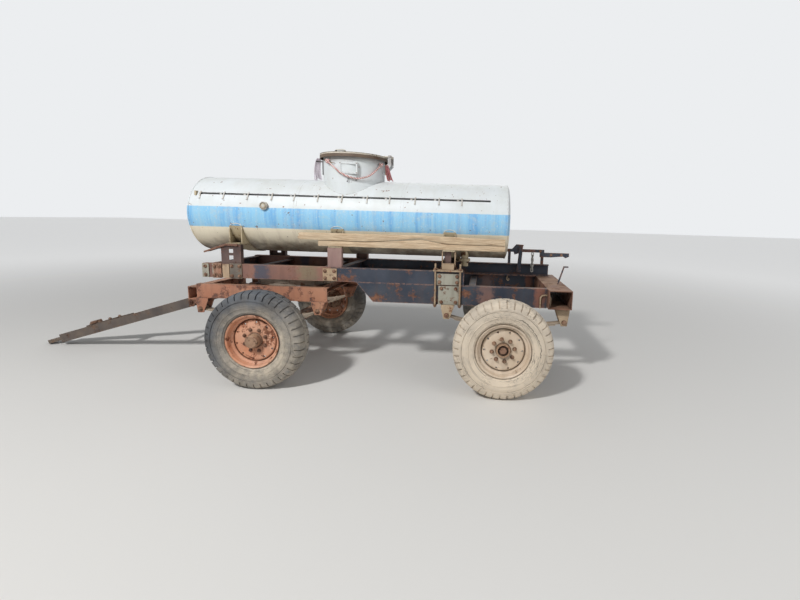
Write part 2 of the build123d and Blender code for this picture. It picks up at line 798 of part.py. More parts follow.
with BuildPart() as hatch_lid:
    with BuildSketch(side_plane(0)):
        with BuildLine():
            Polyline(
                (hatch_x, lid_rest),
                (hatch_x + lid_radius - lid_wall, lid_rest),
                (hatch_x + lid_radius - lid_wall, lid_top - lid_skirt),
                (hatch_x + lid_radius, lid_top - lid_skirt),
                (hatch_x + lid_radius, lid_top + 2),
                (hatch_x + lid_radius * 0.5, lid_crown_top),
                (hatch_x, lid_crown_top),
                close=True,
            )
        make_face()
    revolve(axis=Axis((hatch_x, 0, 0), (0, 0, 1)))
    with BuildSketch(side_plane(0)):
        with BuildLine():
            Polyline(
                (hatch_x + hinge_offset, hinge_height - lid_knuckle),
                (hatch_x + lid_radius - 50, lid_rest + 2),
                (hatch_x + lid_radius - 50, lid_top + 12),
                (hatch_x + hinge_offset, hinge_height + lid_knuckle),
            )
            ThreePointArc(
                (hatch_x + hinge_offset, hinge_height + lid_knuckle),
                (hatch_x + hinge_offset + lid_knuckle, hinge_height),
                (hatch_x + hinge_offset, hinge_height - lid_knuckle),
            )
        make_face()
    extrude(amount=hinge_half_width - hinge_ear - 6, both=True)
    with BuildSketch(side_plane(0)):
        with Locations((hatch_x + hinge_offset, hinge_height)):
            Circle(hinge_pin_radius + running_gap)
    extrude(amount=hinge_half_width, both=True, mode=Mode.SUBTRACT)
    with BuildSketch(Plane.XY.offset(lid_top)):
        with Locations((handle_x, handle_y)):
            Rectangle(handle_span, handle_width)
            Rectangle(handle_span - 2 * handle_bar, handle_width - 2 * handle_bar, mode=Mode.SUBTRACT)
    extrude(amount=handle_rise + lid_crown)
    with BuildSketch(side_plane(handle_y)):
        with Locations((handle_x, lid_crown_top + (handle_rise - handle_bar) / 2)):
            Rectangle(handle_span - 2 * handle_bar, handle_rise - handle_bar)
    extrude(amount=handle_width, both=True, mode=Mode.SUBTRACT)
finish(hatch_lid.part, "hatch_lid")

plug_x = tank_front + 777
plug_height = tank_axis_height + 91
plug_radius = 38
plug_rim = 14
plug_reach = tank_radius + 15
lug_x = tank_front + 66
lug_height = tank_axis_height + 200
outlet_x = tank_rear - 420
outlet_y = -200
outlet_radius = 38
outlet_wall = 8
outlet_collar = 20
outlet_sides = 12
outlet_bottom = tank_axis_height - 457

with BuildPart() as fittings:
    with BuildSketch(side_plane(-tank_radius + 80)):
        with Locations((plug_x, plug_height)):
            RegularPolygon(plug_radius, outlet_sides)
    extrude(amount=plug_reach - tank_radius + 80 - plug_rim)
    with BuildSketch(side_plane(-tank_radius + 80)):
        with Locations((plug_x, plug_height)):
            RegularPolygon(plug_radius - 12, 6)
    extrude(amount=plug_reach - tank_radius + 80)
    with BuildSketch(side_plane(-tank_radius + 90)):
        with Locations((lug_x, lug_height)):
            Rectangle(18, 44)
    extrude(amount=52)
    with BuildSketch(Plane.XY.offset(outlet_bottom + 50)):
        with Locations((outlet_x, outlet_y)):
            RegularPolygon(outlet_radius + outlet_collar, outlet_sides)
    extrude(amount=26)
    with BuildSketch(Plane.XY.offset(outlet_bottom)):
        with Locations((outlet_x, outlet_y)):
            Circle(outlet_radius)
    extrude(amount=200)
    with BuildSketch(cross_plane(tank_front)):
        with Locations((0, tank_axis_height)):
            Circle(tank_radius + seat_gap)
    extrude(amount=tank_length, mode=Mode.SUBTRACT)
    with BuildSketch(Plane.XY.offset(outlet_bottom)):
        with Locations((outlet_x, outlet_y)):
            RegularPolygon(outlet_radius - outlet_wall, outlet_sides)
    extrude(amount=200, mode=Mode.SUBTRACT)
finish(fittings.part, "tank_fittings")


# Saddles: a curved plate under the tank, gussets and foot plates on each side
saddle_plate = 8
saddle_low_angle = 17
saddle_foot_height = tank_axis_height - 283
saddle_foot_reach = 430
saddle_foot_inner = 270
saddle_foot_plate = 12
gusset_reach = 378
gusset_top = tank_axis_height - 133
gusset_thickness = 10
saddle_table = [(-470, 130), (550, 130), (1665, 120)]

with BuildPart() as saddles:
    for station, width in saddle_table:
        saddle_x = front_axle_x + station - width / 2
        with BuildSketch(cross_plane(saddle_x)):
            with BuildLine():
                wrap_start = 180 + saddle_low_angle
                wrap_turn = 180 - 2 * saddle_low_angle
                inner_arc = CenterArc((0, tank_axis_height), tank_radius + seat_gap, wrap_start, wrap_turn)
                outer_arc = CenterArc(
                    (0, tank_axis_height), tank_radius + seat_gap + saddle_plate, wrap_start, wrap_turn
                )
                Line(inner_arc @ 0, outer_arc @ 0)
                Line(inner_arc @ 1, outer_arc @ 1)
            make_face()
        extrude(amount=width)
        gusset_planes = [cross_plane(saddle_x), cross_plane(saddle_x + width - gusset_thickness)]
        with BuildSketch(*gusset_planes):
            for way in (-1, 1):
                with BuildLine():
                    Polyline(
                        (way * saddle_foot_inner, saddle_foot_height),
                        (way * gusset_reach, saddle_foot_height),
                        (way * gusset_reach, gusset_top - 14),
                        (way * (gusset_reach - 10), gusset_top),
                        (way * saddle_foot_inner, gusset_top),
                        close=True,
                    )
                make_face()
            with Locations((0, tank_axis_height)):
                Circle(tank_radius + seat_gap + saddle_plate / 2, mode=Mode.SUBTRACT)
        extrude(amount=gusset_thickness)
        with BuildSketch(cross_plane(saddle_x)):
            for way in (-1, 1):
                foot_middle = way * (saddle_foot_reach + saddle_foot_inner) / 2
                with Locations((foot_middle, saddle_foot_height - saddle_foot_plate / 2)):
                    Rectangle(saddle_foot_reach - saddle_foot_inner, saddle_foot_plate)
        extrude(amount=width)
finish(saddles.part, "tank_saddles")

# Posts under the saddle feet: station, width, inner and outer face, foot height, holed
post_top = saddle_foot_height - saddle_foot_plate
post_wall = 8
post_hole = 46
post_hole_pitch = 72
rear_post_foot = cross_member_table[4][2] + cross_member_table[4][3]
mid_bracket_width = 150
mid_bracket_height = 110
post_table = [
    (-480, 196, 400, 448, upper_rail_top, True),
    (550, 138, 400, 446, upper_rail_top, False),
    (1652, 62, 330, 384, rear_post_foot, False),
]

with BuildPart() as posts:
    for station, width, inner_y, outer_y, foot_height, holed in post_table:
        post_x = front_axle_x + station
        with BuildSketch(Plane.XY.offset(foot_height + seat_gap)):
            with Locations((post_x, -(inner_y + outer_y) / 2)):
                Rectangle(width, outer_y - inner_y)
            with Locations((post_x, -(inner_y + outer_y) / 2 + post_wall)):
                Rectangle(width - 2 * post_wall, outer_y - inner_y, mode=Mode.SUBTRACT)
        extrude(amount=post_top - foot_height - 2 * seat_gap)
        if holed:
            with BuildSketch(side_plane(-outer_y - 2)):
                hole_middle = (post_top + foot_height) / 2
                for rise in (-post_hole_pitch / 2, post_hole_pitch / 2):
                    with Locations((post_x, hole_middle + rise)):
                        Rectangle(post_hole, post_hole)
            extrude(amount=-post_wall - 4, mode=Mode.SUBTRACT)
    mirror(about=Plane.XZ)
finish(posts.part, "saddle_posts")

# Clamps on the rails: station from the front axle, width, bottom, height
plate_thickness = 9
clamp_plate_table = [
    (-730, 66, rail_joint_height, 136),
    (-616, 90, rail_joint_height - 4, 142),
    (-525, 68, rail_joint_height, 136),
    (-426, 118, rail_joint_height - 6, 150),
    (508, 138, rail_joint_height + 6, 122),
    (1670, 236, rail_joint_height + 6, 110),
    (1675, 200, main_rail_bottom, main_rail_height - 4),
]

with BuildPart() as rail_plates:
    for station, width, bottom, height in clamp_plate_table:
        with BuildSketch(side_plane(-frame_half_width)):
            with Locations((front_axle_x + station, bottom + height / 2)):
                Rectangle(width, height)
        extrude(amount=plate_thickness)
    mirror(about=Plane.XZ)
finish(rail_plates.part, "rail_plates")

# Rear saddle clamp: a plate on the rail, a block, two tie rods up to the saddle, two long bolts
tie_y = 412
tie_rod_radius = 7
tie_rod_pitch = 124
clamp_station = 1665
clamp_bar_length = 284
clamp_bar_thickness = 14
clamp_bar_inner = 399
clamp_block = (116, 58, 60)
long_bolt_radius = 9
long_bolt_pitch = 240
long_bolt_y = frame_half_width + plate_thickness + long_bolt_radius + 1
clamp_bar_outer = long_bolt_y + 14

with BuildPart() as saddle_clamps:
    clamp_x = front_axle_x + clamp_station
    clamp_bar_middle = (clamp_x, -(clamp_bar_inner + clamp_bar_outer) / 2)
    with BuildSketch(Plane.XY.offset(upper_rail_top + seat_gap)):
        with Locations(clamp_bar_middle):
            Rectangle(clamp_bar_length, clamp_bar_outer - clamp_bar_inner)
    extrude(amount=clamp_bar_thickness)
    with BuildSketch(Plane.XY.offset(upper_rail_top + clamp_bar_thickness)):
        with Locations(clamp_bar_middle):
            Rectangle(clamp_block[0], clamp_block[1])
    extrude(amount=clamp_block[2])
    with BuildSketch(Plane.XY.offset(upper_rail_top + clamp_bar_thickness)):
        with Locations((clamp_x - tie_rod_pitch / 2, -tie_y), (clamp_x + tie_rod_pitch / 2, -tie_y)):
            RegularPolygon(tie_rod_radius, pin_sides)
    extrude(amount=saddle_foot_height - saddle_foot_plate - upper_rail_top - clamp_bar_thickness - seat_gap)
    with BuildSketch(Plane.XY.offset(main_rail_bottom - 24)):
        with Locations((clamp_x - long_bolt_pitch / 2, -long_bolt_y), (clamp_x + long_bolt_pitch / 2, -long_bolt_y)):
            RegularPolygon(long_bolt_radius, pin_sides)
    extrude(amount=upper_rail_top + 76 - main_rail_bottom + 24)
    mirror(about=Plane.XZ)
finish(saddle_clamps.part, "saddle_clamps")

# Hanging hoop beside the rear end of the main rail: a bent flat bar with a rounded top
hoop_bar = 14
hoop_depth = 12
hoop_x = beam_x - 18
hoop_half_span = 49
hoop_corner = 28
hoop_top = main_rail_bottom + 131
hoop_table = [
    (-hoop_half_span, main_rail_bottom + 4),
    (-hoop_half_span, hoop_top - hoop_corner),
    (-hoop_half_span + hoop_corner / 2, hoop_top - hoop_corner / 4),
    (0, hoop_top),
    (hoop_half_span - hoop_corner / 2, hoop_top - hoop_corner / 4),
    (hoop_half_span, hoop_top - hoop_corner),
    (hoop_half_span, rear_beam_bottom + 4),
]

with BuildPart() as hoop:
    with BuildSketch(side_plane(-frame_half_width - 1)):
        with BuildLine():
            hoop_line = Polyline(*[(hoop_x + x, z) for x, z in hoop_table])
            offset(hoop_line, amount=hoop_bar / 2, kind=Kind.INTERSECTION)
        make_face()
    extrude(amount=hoop_depth)
    add(rear_beam.part, mode=Mode.SUBTRACT)
finish(hoop.part, "side_hoop")

# Plank and top board along the near side of the tank, on the saddle feet
plank_front = 380
plank_thickness = 40
plank_height = 58
plank_y = gusset_reach + 4
plank_rear_gap = 40
board_front = 180
board_thickness = 10
board_width = 50
board_rear_gap = 20
board_kink_start = 1145
board_kink_peak = 1383
board_kink_end = 1560
board_kink_rise = 54
plank_bottom = saddle_foot_height + seat_gap
plank_top = plank_bottom + plank_height
board_bottom = plank_top + seat_gap

with BuildPart() as planks:
    with BuildSketch(side_plane(-plank_y - plank_thickness)):
        with BuildLine():
            Polyline(
                (front_axle_x + plank_front, plank_bottom),
                (tank_rear - plank_rear_gap, plank_bottom),
                (tank_rear - plank_rear_gap, plank_top),
                (front_axle_x + plank_front, plank_top),
                close=True,
            )
        make_face()
    extrude(amount=-plank_thickness)
    with BuildSketch(side_plane(-plank_y - board_width)):
        with BuildLine():
            Polyline(
                (front_axle_x + board_front, board_bottom),
                (front_axle_x + board_kink_start, board_bottom),
                (front_axle_x + board_kink_peak, board_bottom + board_kink_rise),
                (front_axle_x + board_kink_end, board_bottom),
                (tank_rear - board_rear_gap, board_bottom),
                (tank_rear - board_rear_gap, board_bottom + board_thickness),
                (front_axle_x + board_kink_end, board_bottom + board_thickness),
                (front_axle_x + board_kink_peak, board_bottom + board_kink_rise + board_thickness),
                (front_axle_x + board_kink_start, board_bottom + board_thickness),
                (front_axle_x + board_front + 70, board_bottom + board_thickness),
                close=True,
            )
        make_face()
    extrude(amount=-board_width)
finish(planks.part, "side_planks")

# Bent plate that slopes forwards from the front saddle foot
bent_rear = saddle_table[0][0] + saddle_table[0][1] / 2
bent_front = -744
bent_drop = 81
bent_thickness = 8
bent_width = 70

with BuildPart() as bent_plate:
    with BuildSketch(side_plane(-saddle_foot_reach)):
        with BuildLine():
            Polyline(
                (front_axle_x + bent_rear, post_top),
                (front_axle_x + bent_rear - 120, post_top),
                (front_axle_x + bent_front, post_top - bent_drop + 8),
                (front_axle_x + bent_front, post_top - bent_drop),
                (front_axle_x + bent_rear - 120, post_top - bent_thickness),
                (front_axle_x + bent_rear, post_top - bent_thickness),
                close=True,
            )
        make_face()
    extrude(amount=-bent_width)
    add(posts.part, mode=Mode.SUBTRACT)
finish(bent_plate.part, "front_bent_plate")

# Tail carrier on the far rail: two lapped bars on feet, an upright strap and a plate behind it,
# and a bent rod that leans on the rear beam
tail_end_x = rear_axle_x + tail_reach
carrier_y = frame_half_width - rail_flange - seat_gap
carrier_depth = 40
carrier_bottom = upper_rail_top + 88
lower_bar_front = 471
lower_bar_height = 52
upper_bar_front = 40
upper_bar_rear = 520
upper_bar_height = 34
upright_station = 202
upright_width = 46
upright_depth = 14
upright_foot = upper_rail_top - 90
upright_top = upper_rail_top + 208
foot_width = 30
tail_foot_station = 500
lean_rod_y = -150
lean_rod_lean = 66
lean_rod_bar = 14
lean_foot_x = rear_axle_x + 580
lean_top = rail_joint_height + 190

with BuildPart() as tail_carrier:
    with BuildSketch(side_plane(carrier_y)):
        with BuildLine():
            Polyline(
                (rear_axle_x + lower_bar_front, carrier_bottom),
                (tail_end_x - 210, carrier_bottom),
                (tail_end_x - 70, carrier_bottom + 14),
                (tail_end_x - 40, carrier_bottom - 4),
                (tail_end_x, carrier_bottom + 14),
                (tail_end_x, carrier_bottom + lower_bar_height),
                (rear_axle_x + lower_bar_front, carrier_bottom + lower_bar_height),
                close=True,
            )
        make_face()
    extrude(amount=-carrier_depth)
    with BuildSketch(side_plane(carrier_y)):
        with BuildLine():
            Polyline(
                (rear_axle_x + upper_bar_front, carrier_bottom + lower_bar_height),
                (rear_axle_x + upper_bar_rear, carrier_bottom + lower_bar_height),
                (rear_axle_x + upper_bar_rear, carrier_bottom + lower_bar_height + upper_bar_height),
                (rear_axle_x + upper_bar_front, carrier_bottom + lower_bar_height + upper_bar_height),
                close=True,
            )
        make_face()
    extrude(amount=-carrier_depth)
    with BuildSketch(Plane.XY.offset(upper_rail_top + seat_gap)):
        with Locations((rear_axle_x + tail_foot_station, carrier_y + 30), (rear_axle_x + upright_station - 90, carrier_y + 30)):
            Rectangle(foot_width, carrier_depth)
    extrude(amount=carrier_bottom + lower_bar_height - upper_rail_top)
    with BuildSketch(side_plane(carrier_y)):
        with BuildLine():
            Polyline(
                (rear_axle_x + upright_station, upright_foot),
                (rear_axle_x + upright_station + upright_width, upright_foot),
                (rear_axle_x + upright_station + upright_width * 1.4, upright_top),
                (rear_axle_x + upright_station + upright_width * 0.5, upright_top),
                close=True,
            )
        make_face()
    extrude(amount=upright_depth)
    with BuildSketch(side_plane(carrier_y)):
        with BuildLine():
            Polyline(
                (rear_axle_x + upright_station - 30, carrier_bottom + 20),
                (rear_axle_x + upright_station + 40, carrier_bottom + 44),
                (rear_axle_x + upright_station + 60, upright_top - 26),
                (rear_axle_x + upright_station + 74, upright_top + 18),
                (rear_axle_x + upright_station - 14, upright_top + 22),
                (rear_axle_x + upright_station - 60, upright_top - 30),
                close=True,
            )
        make_face()
    extrude(amount=-12)
    with BuildSketch(side_plane(lean_rod_y + lean_rod_bar / 2)):
        with BuildLine():
            Polyline(
                (lean_foot_x, rail_joint_height + seat_gap),
                (lean_foot_x + lean_rod_bar, rail_joint_height + seat_gap),
                (lean_foot_x + lean_rod_lean, lean_top - lean_rod_bar),
                (lean_foot_x + lean_rod_lean + 40, lean_top - lean_rod_bar),
                (lean_foot_x + lean_rod_lean + 40, lean_top),
                (lean_foot_x + lean_rod_lean - 10, lean_top),
                close=True,
            )
        make_face()
    extrude(amount=lean_rod_bar)
finish(tail_carrier.part, "tail_carrier")

# Brackets and knots on the hatch neck, and the rope that hangs between the knots.
# Rope points: turn round the neck from +X in degrees, height under the neck's top
rope_diameter = 18
rope_reach = neck_radius + rope_diameter / 2 + 13
rope_table = [
    (240, 84),
    (252, 138),
    (264, 191),
    (276, 224),
    (289, 243),
    (302, 232),
    (314, 205),
    (326, 152),
    (337, 92),
]
knot_radius = 24.5
knot_length = 34
stay_y = -60
stay_height = 140
stay_drop = 190

rope_points = [
    (
        hatch_x + rope_reach * cos(radians(turn)),
        rope_reach * sin(radians(turn)),
        hatch_neck_top - drop,
    )
    for turn, drop in rope_table
]


def bend_radius(before, corner, after):
    """The radius of a rope's arc at a corner, from its shorter run and its turn."""
    first = Vector(*corner) - Vector(*before)
    second = Vector(*after) - Vector(*corner)
    half_turn = radians(first.get_angle(second)) / 2
    return 0.45 * min(first.length, second.length) / (sin(half_turn) / cos(half_turn))


rope_bends = [bend_radius(*rope_points[n - 1 : n + 2]) for n in range(1, len(rope_points) - 1)]
print("rope bends", [round(bend) for bend in rope_bends])

with BuildPart() as rope:
    with BuildLine() as rope_line:
        FilletPolyline(*rope_points, radius=rope_bends)
    with BuildSketch(Plane(origin=rope_line.wire() @ 0, z_dir=rope_line.wire() % 0)):
        Circle(rope_diameter / 2)
    sweep(path=rope_line.wire())
rope_length = rope_line.wire().length
rope_section = pi * rope_diameter**2 / 4
print("rope length", round(rope_length, 1), "share of its volume", round(rope.part.volume / rope_length / rope_section, 4))
finish(rope.part, "hatch_rope")

with BuildPart() as ties:
    for end, way in ((0, -1), (1, 1)):
        outwards = way * (rope_line.wire() % end)
        with BuildSketch(Plane(origin=rope_line.wire() @ end + outwards * seat_gap, z_dir=outwards)):
            RegularPolygon(knot_radius, pin_sides)
        extrude(amount=knot_length)
    with BuildSketch(Plane.XY.offset(hatch_neck_top - stay_drop)):
        with Locations((hatch_x - neck_radius, stay_y)):
            Rectangle(24, 30)
    extrude(amount=stay_height)
    with BuildSketch(Plane.XY.offset(tank_axis_height)):
        with Locations((hatch_x, 0)):
            Circle(neck_radius + seat_gap)
    extrude(amount=hatch_neck_rise, mode=Mode.SUBTRACT)
finish(ties.part, "hatch_ties")
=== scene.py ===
"""The looks of a two-axle drawbar tank trailer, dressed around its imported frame."""

import logging
import random
from dataclasses import dataclass, field
from enum import Enum
from functools import cached_property
from math import asin, atan2, cos, hypot, pi, radians, sin, sqrt, tau
from typing import Callable, Iterable, Optional, Sequence, Union

import bmesh
import bpy
from mathutils import Matrix, Vector


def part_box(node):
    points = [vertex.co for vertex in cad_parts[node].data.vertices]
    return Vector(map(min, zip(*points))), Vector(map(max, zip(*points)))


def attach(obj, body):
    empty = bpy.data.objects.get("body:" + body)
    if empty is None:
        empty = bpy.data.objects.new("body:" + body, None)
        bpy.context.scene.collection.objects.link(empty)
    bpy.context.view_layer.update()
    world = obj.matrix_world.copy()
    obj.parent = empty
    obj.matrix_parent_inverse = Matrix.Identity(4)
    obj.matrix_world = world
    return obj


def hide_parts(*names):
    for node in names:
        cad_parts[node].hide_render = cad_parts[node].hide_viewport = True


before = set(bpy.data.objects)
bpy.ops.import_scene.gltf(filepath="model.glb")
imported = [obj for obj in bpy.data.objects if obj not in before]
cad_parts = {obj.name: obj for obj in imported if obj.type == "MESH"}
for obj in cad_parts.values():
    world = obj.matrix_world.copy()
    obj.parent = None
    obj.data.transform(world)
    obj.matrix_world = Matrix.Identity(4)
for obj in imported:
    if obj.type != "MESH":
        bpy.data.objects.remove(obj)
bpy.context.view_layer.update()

log = logging.getLogger("tank_trailer")
Piece = bpy.types.Object
Socket = bpy.types.NodeSocket
Colour = tuple[float, float, float]
Point = tuple[float, float, float]
Pair = tuple[float, float]
Spot = tuple[Point, Point]
Value = Union["Signal", float, tuple]
ORIGIN = (0, 0, 0)
SIDES = (-1, 1)


# Small helpers for colours and selections


def linear(red: float, green: float, blue: float) -> tuple[float, float, float, float]:
    """Turns a colour as it looks into the linear one that shaders use.

    Args:
        red: The red channel as it looks, 0 to 255.
        green: The green channel.
        blue: The blue channel.

    Returns:
        The linear colour with full alpha.
    """
    channels = []
    for value in (red, green, blue):
        share = value / 255
        channels.append(share / 12.92 if share <= 0.04045 else ((share + 0.055) / 1.055) ** 2.4)
    return (*channels, 1.0)


def dimmed(colour: Colour, share: float) -> Colour:
    """A colour with each of its channels lowered to a share."""
    return tuple(part * share for part in colour)


def clear_selection() -> None:
    """Leaves edit mode and deselects every object."""
    if bpy.context.mode != "OBJECT":
        bpy.ops.object.mode_set(mode="OBJECT")
    bpy.ops.object.select_all(action="DESELECT")


def activate(piece: Piece) -> None:
    """Makes one piece the only selected and active object.

    Args:
        piece: The object to work on.
    """
    clear_selection()
    piece.select_set(True)
    bpy.context.view_layer.objects.active = piece


def start_edit(piece: Piece, mode: str = "FACE") -> None:
    """Enters edit mode with everything deselected.

    Args:
        piece: The object to edit.
        mode: What is selected: VERT, EDGE or FACE.
    """
    activate(piece)
    bpy.ops.object.mode_set(mode="EDIT")
    bpy.ops.mesh.select_mode(type=mode)
    bpy.ops.mesh.select_all(action="DESELECT")


def end_edit() -> None:
    """Returns to object mode."""
    bpy.ops.object.mode_set(mode="OBJECT")


def select_all() -> None:
    """Selects the whole mesh in edit mode."""
    bpy.ops.mesh.select_all(action="SELECT")


def select_faces(piece: Piece, wanted: Callable[[Vector, Vector], bool]) -> None:
    """Selects the faces that pass a test, while the piece is in edit mode.

    Args:
        piece: The object being edited.
        wanted: A test of a face's centre and normal.
    """
    mesh = bmesh.from_edit_mesh(piece.data)
    for face in mesh.faces:
        face.select_set(wanted(face.calc_center_median(), face.normal))
    bmesh.update_edit_mesh(piece.data)


def cut_faces(piece: Piece, wanted: Callable[[Vector, Vector], bool]) -> None:
    """Deletes the faces that pass a test.

    Args:
        piece: The object that loses them.
        wanted: A test of a face's centre and normal.
    """
    start_edit(piece)
    select_faces(piece, wanted)
    bpy.ops.mesh.delete(type="FACE")
    end_edit()


def apply_modifier(piece: Piece, kind: str, **settings: object) -> None:
    """Adds one modifier with its settings and applies it.

    Args:
        piece: The object that the modifier works on.
        kind: The modifier's type.
        **settings: Its properties by name.
    """
    activate(piece)
    modifier = piece.modifiers.new(kind.lower(), kind)
    for key, value in settings.items():
        setattr(modifier, key, value)
    bpy.ops.object.modifier_apply(modifier=modifier.name)


def join(pieces: Sequence[Piece], name: str) -> Piece:
    """Joins several meshes into one.

    Args:
        pieces: The meshes; the first one takes in the others.
        name: The joined piece's name.

    Returns:
        The joined piece.
    """
    clear_selection()
    for piece in pieces:
        piece.select_set(True)
    bpy.context.view_layer.objects.active = pieces[0]
    if len(pieces) > 1:
        bpy.ops.object.join()
    pieces[0].name = name
    return pieces[0]


def settle(piece: Piece) -> Piece:
    """Applies a piece's transform, so it sits at the origin, unturned and unscaled.

    Args:
        piece: The object.

    Returns:
        The same object.
    """
    activate(piece)
    bpy.ops.object.transform_apply(location=True, rotation=True, scale=True)
    return piece


def shade(piece: Piece, degrees: float) -> Piece:
    """Shades a piece smooth, with the edges sharper than an angle kept.

    Args:
        piece: The object.
        degrees: The angle above which an edge stays sharp.

    Returns:
        The same object.
    """
    activate(piece)
    bpy.ops.object.shade_smooth_by_angle(angle=radians(degrees))
    return piece


def copy_at(model: Piece, matrix: Matrix) -> Piece:
    """Copies a modelled piece, with a mesh of its own, to another place.

    Args:
        model: The piece to copy.
        matrix: How the copy is moved from the model's place.

    Returns:
        The copy.
    """
    twin = model.copy()
    twin.data = model.data.copy()
    twin.matrix_world = matrix @ model.matrix_world
    bpy.context.scene.collection.objects.link(twin)
    return twin


def remove(piece: Piece) -> None:
    """Deletes a model that only served to be copied."""
    bpy.data.objects.remove(piece, do_unlink=True)


# Modelling moves that several sub-assemblies share


def chain(name: str, places: Sequence[Vector]) -> Piece:
    """Draws a line of points, by extruding one vertex from each place to the next.

    Args:
        name: The piece's name.
        places: The points in order.

    Returns:
        The new piece, still in edit mode with the whole line selected.
    """
    clear_selection()
    bpy.ops.mesh.primitive_plane_add(size=0.001, location=places[0])
    piece = settle(bpy.context.active_object)
    piece.name = name
    start_edit(piece, "VERT")
    select_all()
    bpy.ops.mesh.merge(type="CENTER")
    for here, there in zip(places, places[1:]):
        bpy.ops.mesh.extrude_vertices_move(TRANSFORM_OT_translate={"value": there - here})
    select_all()
    return piece


def spun(
    name: str,
    profile: Sequence[Pair],
    centre: Point,
    steps: int,
    side: int = -1,
    axis: str = "Y",
    closed: bool = False,
) -> Piece:
    """Turns a profile round an axis.

    Args:
        name: The piece's name.
        profile: Points as (distance outwards along the axis, radius).
        centre: The point of the axis that distances are counted from.
        steps: How many faces go round.
        side: Which way along the axis is outwards.
        axis: Y for wheels, X along the tank, Z for upright pieces.
        closed: Whether the profile's last point joins its first.

    Returns:
        The new piece.
    """
    along = {"X": Vector((1, 0, 0)), "Y": Vector((0, 1, 0)), "Z": Vector((0, 0, 1))}[axis] * side
    outward = Vector((1, 0, 0)) if axis == "Z" else Vector((0, 0, 1))
    places = [Vector(centre) + along * out + outward * radius for out, radius in profile]
    piece = chain(name, places + places[:1] if closed else places)
    bpy.ops.mesh.spin(steps=steps, angle=2 * pi, center=centre, axis=along)
    select_all()
    bpy.ops.mesh.remove_doubles(threshold=0.00005)
    bpy.ops.mesh.normals_make_consistent(inside=False)
    end_edit()
    return shade(piece, 32)


def block(name: str, low: Point, high: Point, bevel: float = 0.002) -> Piece:
    """A block between two corners with its edges eased.

    Args:
        name: The piece's name.
        low: Its lowest corner.
        high: Its highest corner.
        bevel: How wide the edges are eased.

    Returns:
        The new piece.
    """
    clear_selection()
    bpy.ops.mesh.primitive_cube_add(size=1, location=(Vector(low) + Vector(high)) / 2)
    piece = bpy.context.active_object
    piece.name = name
    piece.scale = Vector(high) - Vector(low)
    settle(piece)
    start_edit(piece, "EDGE")
    select_all()
    bpy.ops.mesh.bevel(offset=bevel, segments=2, affect="EDGES")
    end_edit()
    return shade(piece, 40)


def plate(name: str, outline: Sequence[Point], thickness: Point, bevel: float = 0.0015) -> Piece:
    """A plate cut to an outline: a chain of points, filled, thickened and eased.

    Args:
        name: The piece's name.
        outline: The corners of one face in order.
        thickness: The way, as a vector, that the face is extruded.
        bevel: How wide the edges are eased.

    Returns:
        The new piece.
    """
    piece = chain(name, [Vector(corner) for corner in outline])
    bpy.ops.mesh.edge_face_add()
    bpy.ops.mesh.extrude_region_move(TRANSFORM_OT_translate={"value": thickness})
    select_all()
    bpy.ops.mesh.normals_make_consistent(inside=False)
    bpy.ops.mesh.select_mode(type="EDGE")
    select_all()
    bpy.ops.mesh.bevel(offset=bevel, segments=2, affect="EDGES")
    end_edit()
    return shade(piece, 40)


def slab(name: str, line: Iterable[Pair], y: float, thick: float, bevel: float = 0.0015) -> Piece:
    """A plate that stands along the trailer, from the (x, z) corners of its side and its near face's y."""
    return plate(name, [(x, y, z) for x, z in line], (0, thick, 0), bevel)


def rod(name: str, start: Point, end: Point, radius: float, vertices: int = 20) -> Piece:
    """A round bar between two points with eased ends.

    Args:
        name: The piece's name.
        start: The middle of one end.
        end: The middle of the other end.
        radius: Its radius.
        vertices: How many faces go round.

    Returns:
        The new piece.
    """
    clear_selection()
    run = Vector(end) - Vector(start)
    bpy.ops.mesh.primitive_cylinder_add(
        vertices=vertices,
        radius=radius,
        depth=run.length,
        location=(Vector(start) + Vector(end)) / 2,
        rotation=run.to_track_quat("Z", "Y").to_euler(),
    )
    piece = settle(bpy.context.active_object)
    piece.name = name
    direction = run.normalized()
    start_edit(piece)
    select_faces(piece, lambda centre, normal: abs(normal.dot(direction)) > 0.9)
    bpy.ops.mesh.bevel(offset=radius * 0.15, segments=2, affect="EDGES")
    end_edit()
    return shade(piece, 40)


def button(name: str, profile: Sequence[Pair], steps: int) -> Piece:
    """A round head or seat at the origin that faces +Z, from (height, radius) points."""
    return spun(name, profile, ORIGIN, steps, 1, "Z")


def bolt(name: str, across: float, height: float, washer: float = 1.5) -> Piece:
    """A hexagon nut on its washer with the bolt's end standing out, at the origin and facing +Z.

    Args:
        name: The piece's name.
        across: The nut's size across its corners.
        height: The nut's height.
        washer: The washer's width as a share of the nut's.

    Returns:
        The new piece.
    """
    clear_selection()
    bpy.ops.mesh.primitive_cylinder_add(
        vertices=6, radius=across / 2, depth=height, location=(0, 0, height / 2)
    )
    nut = settle(bpy.context.active_object)
    start_edit(nut)
    select_faces(nut, lambda centre, normal: normal.z > 0.9)
    bpy.ops.mesh.inset(thickness=across * 0.08)
    bpy.ops.transform.translate(value=(0, 0, height * 0.12))
    bpy.ops.mesh.inset(thickness=across * 0.14)
    bpy.ops.mesh.extrude_region_move(TRANSFORM_OT_translate={"value": (0, 0, height * 0.5)})
    end_edit()
    shade(nut, 30)
    reach = across / 2 * washer
    flat = button(f"{name}_washer", [(0, 0.0004), (0, reach), (0.0022, reach), (0.003, across * 0.4)], 18)
    return join([nut, flat], name)


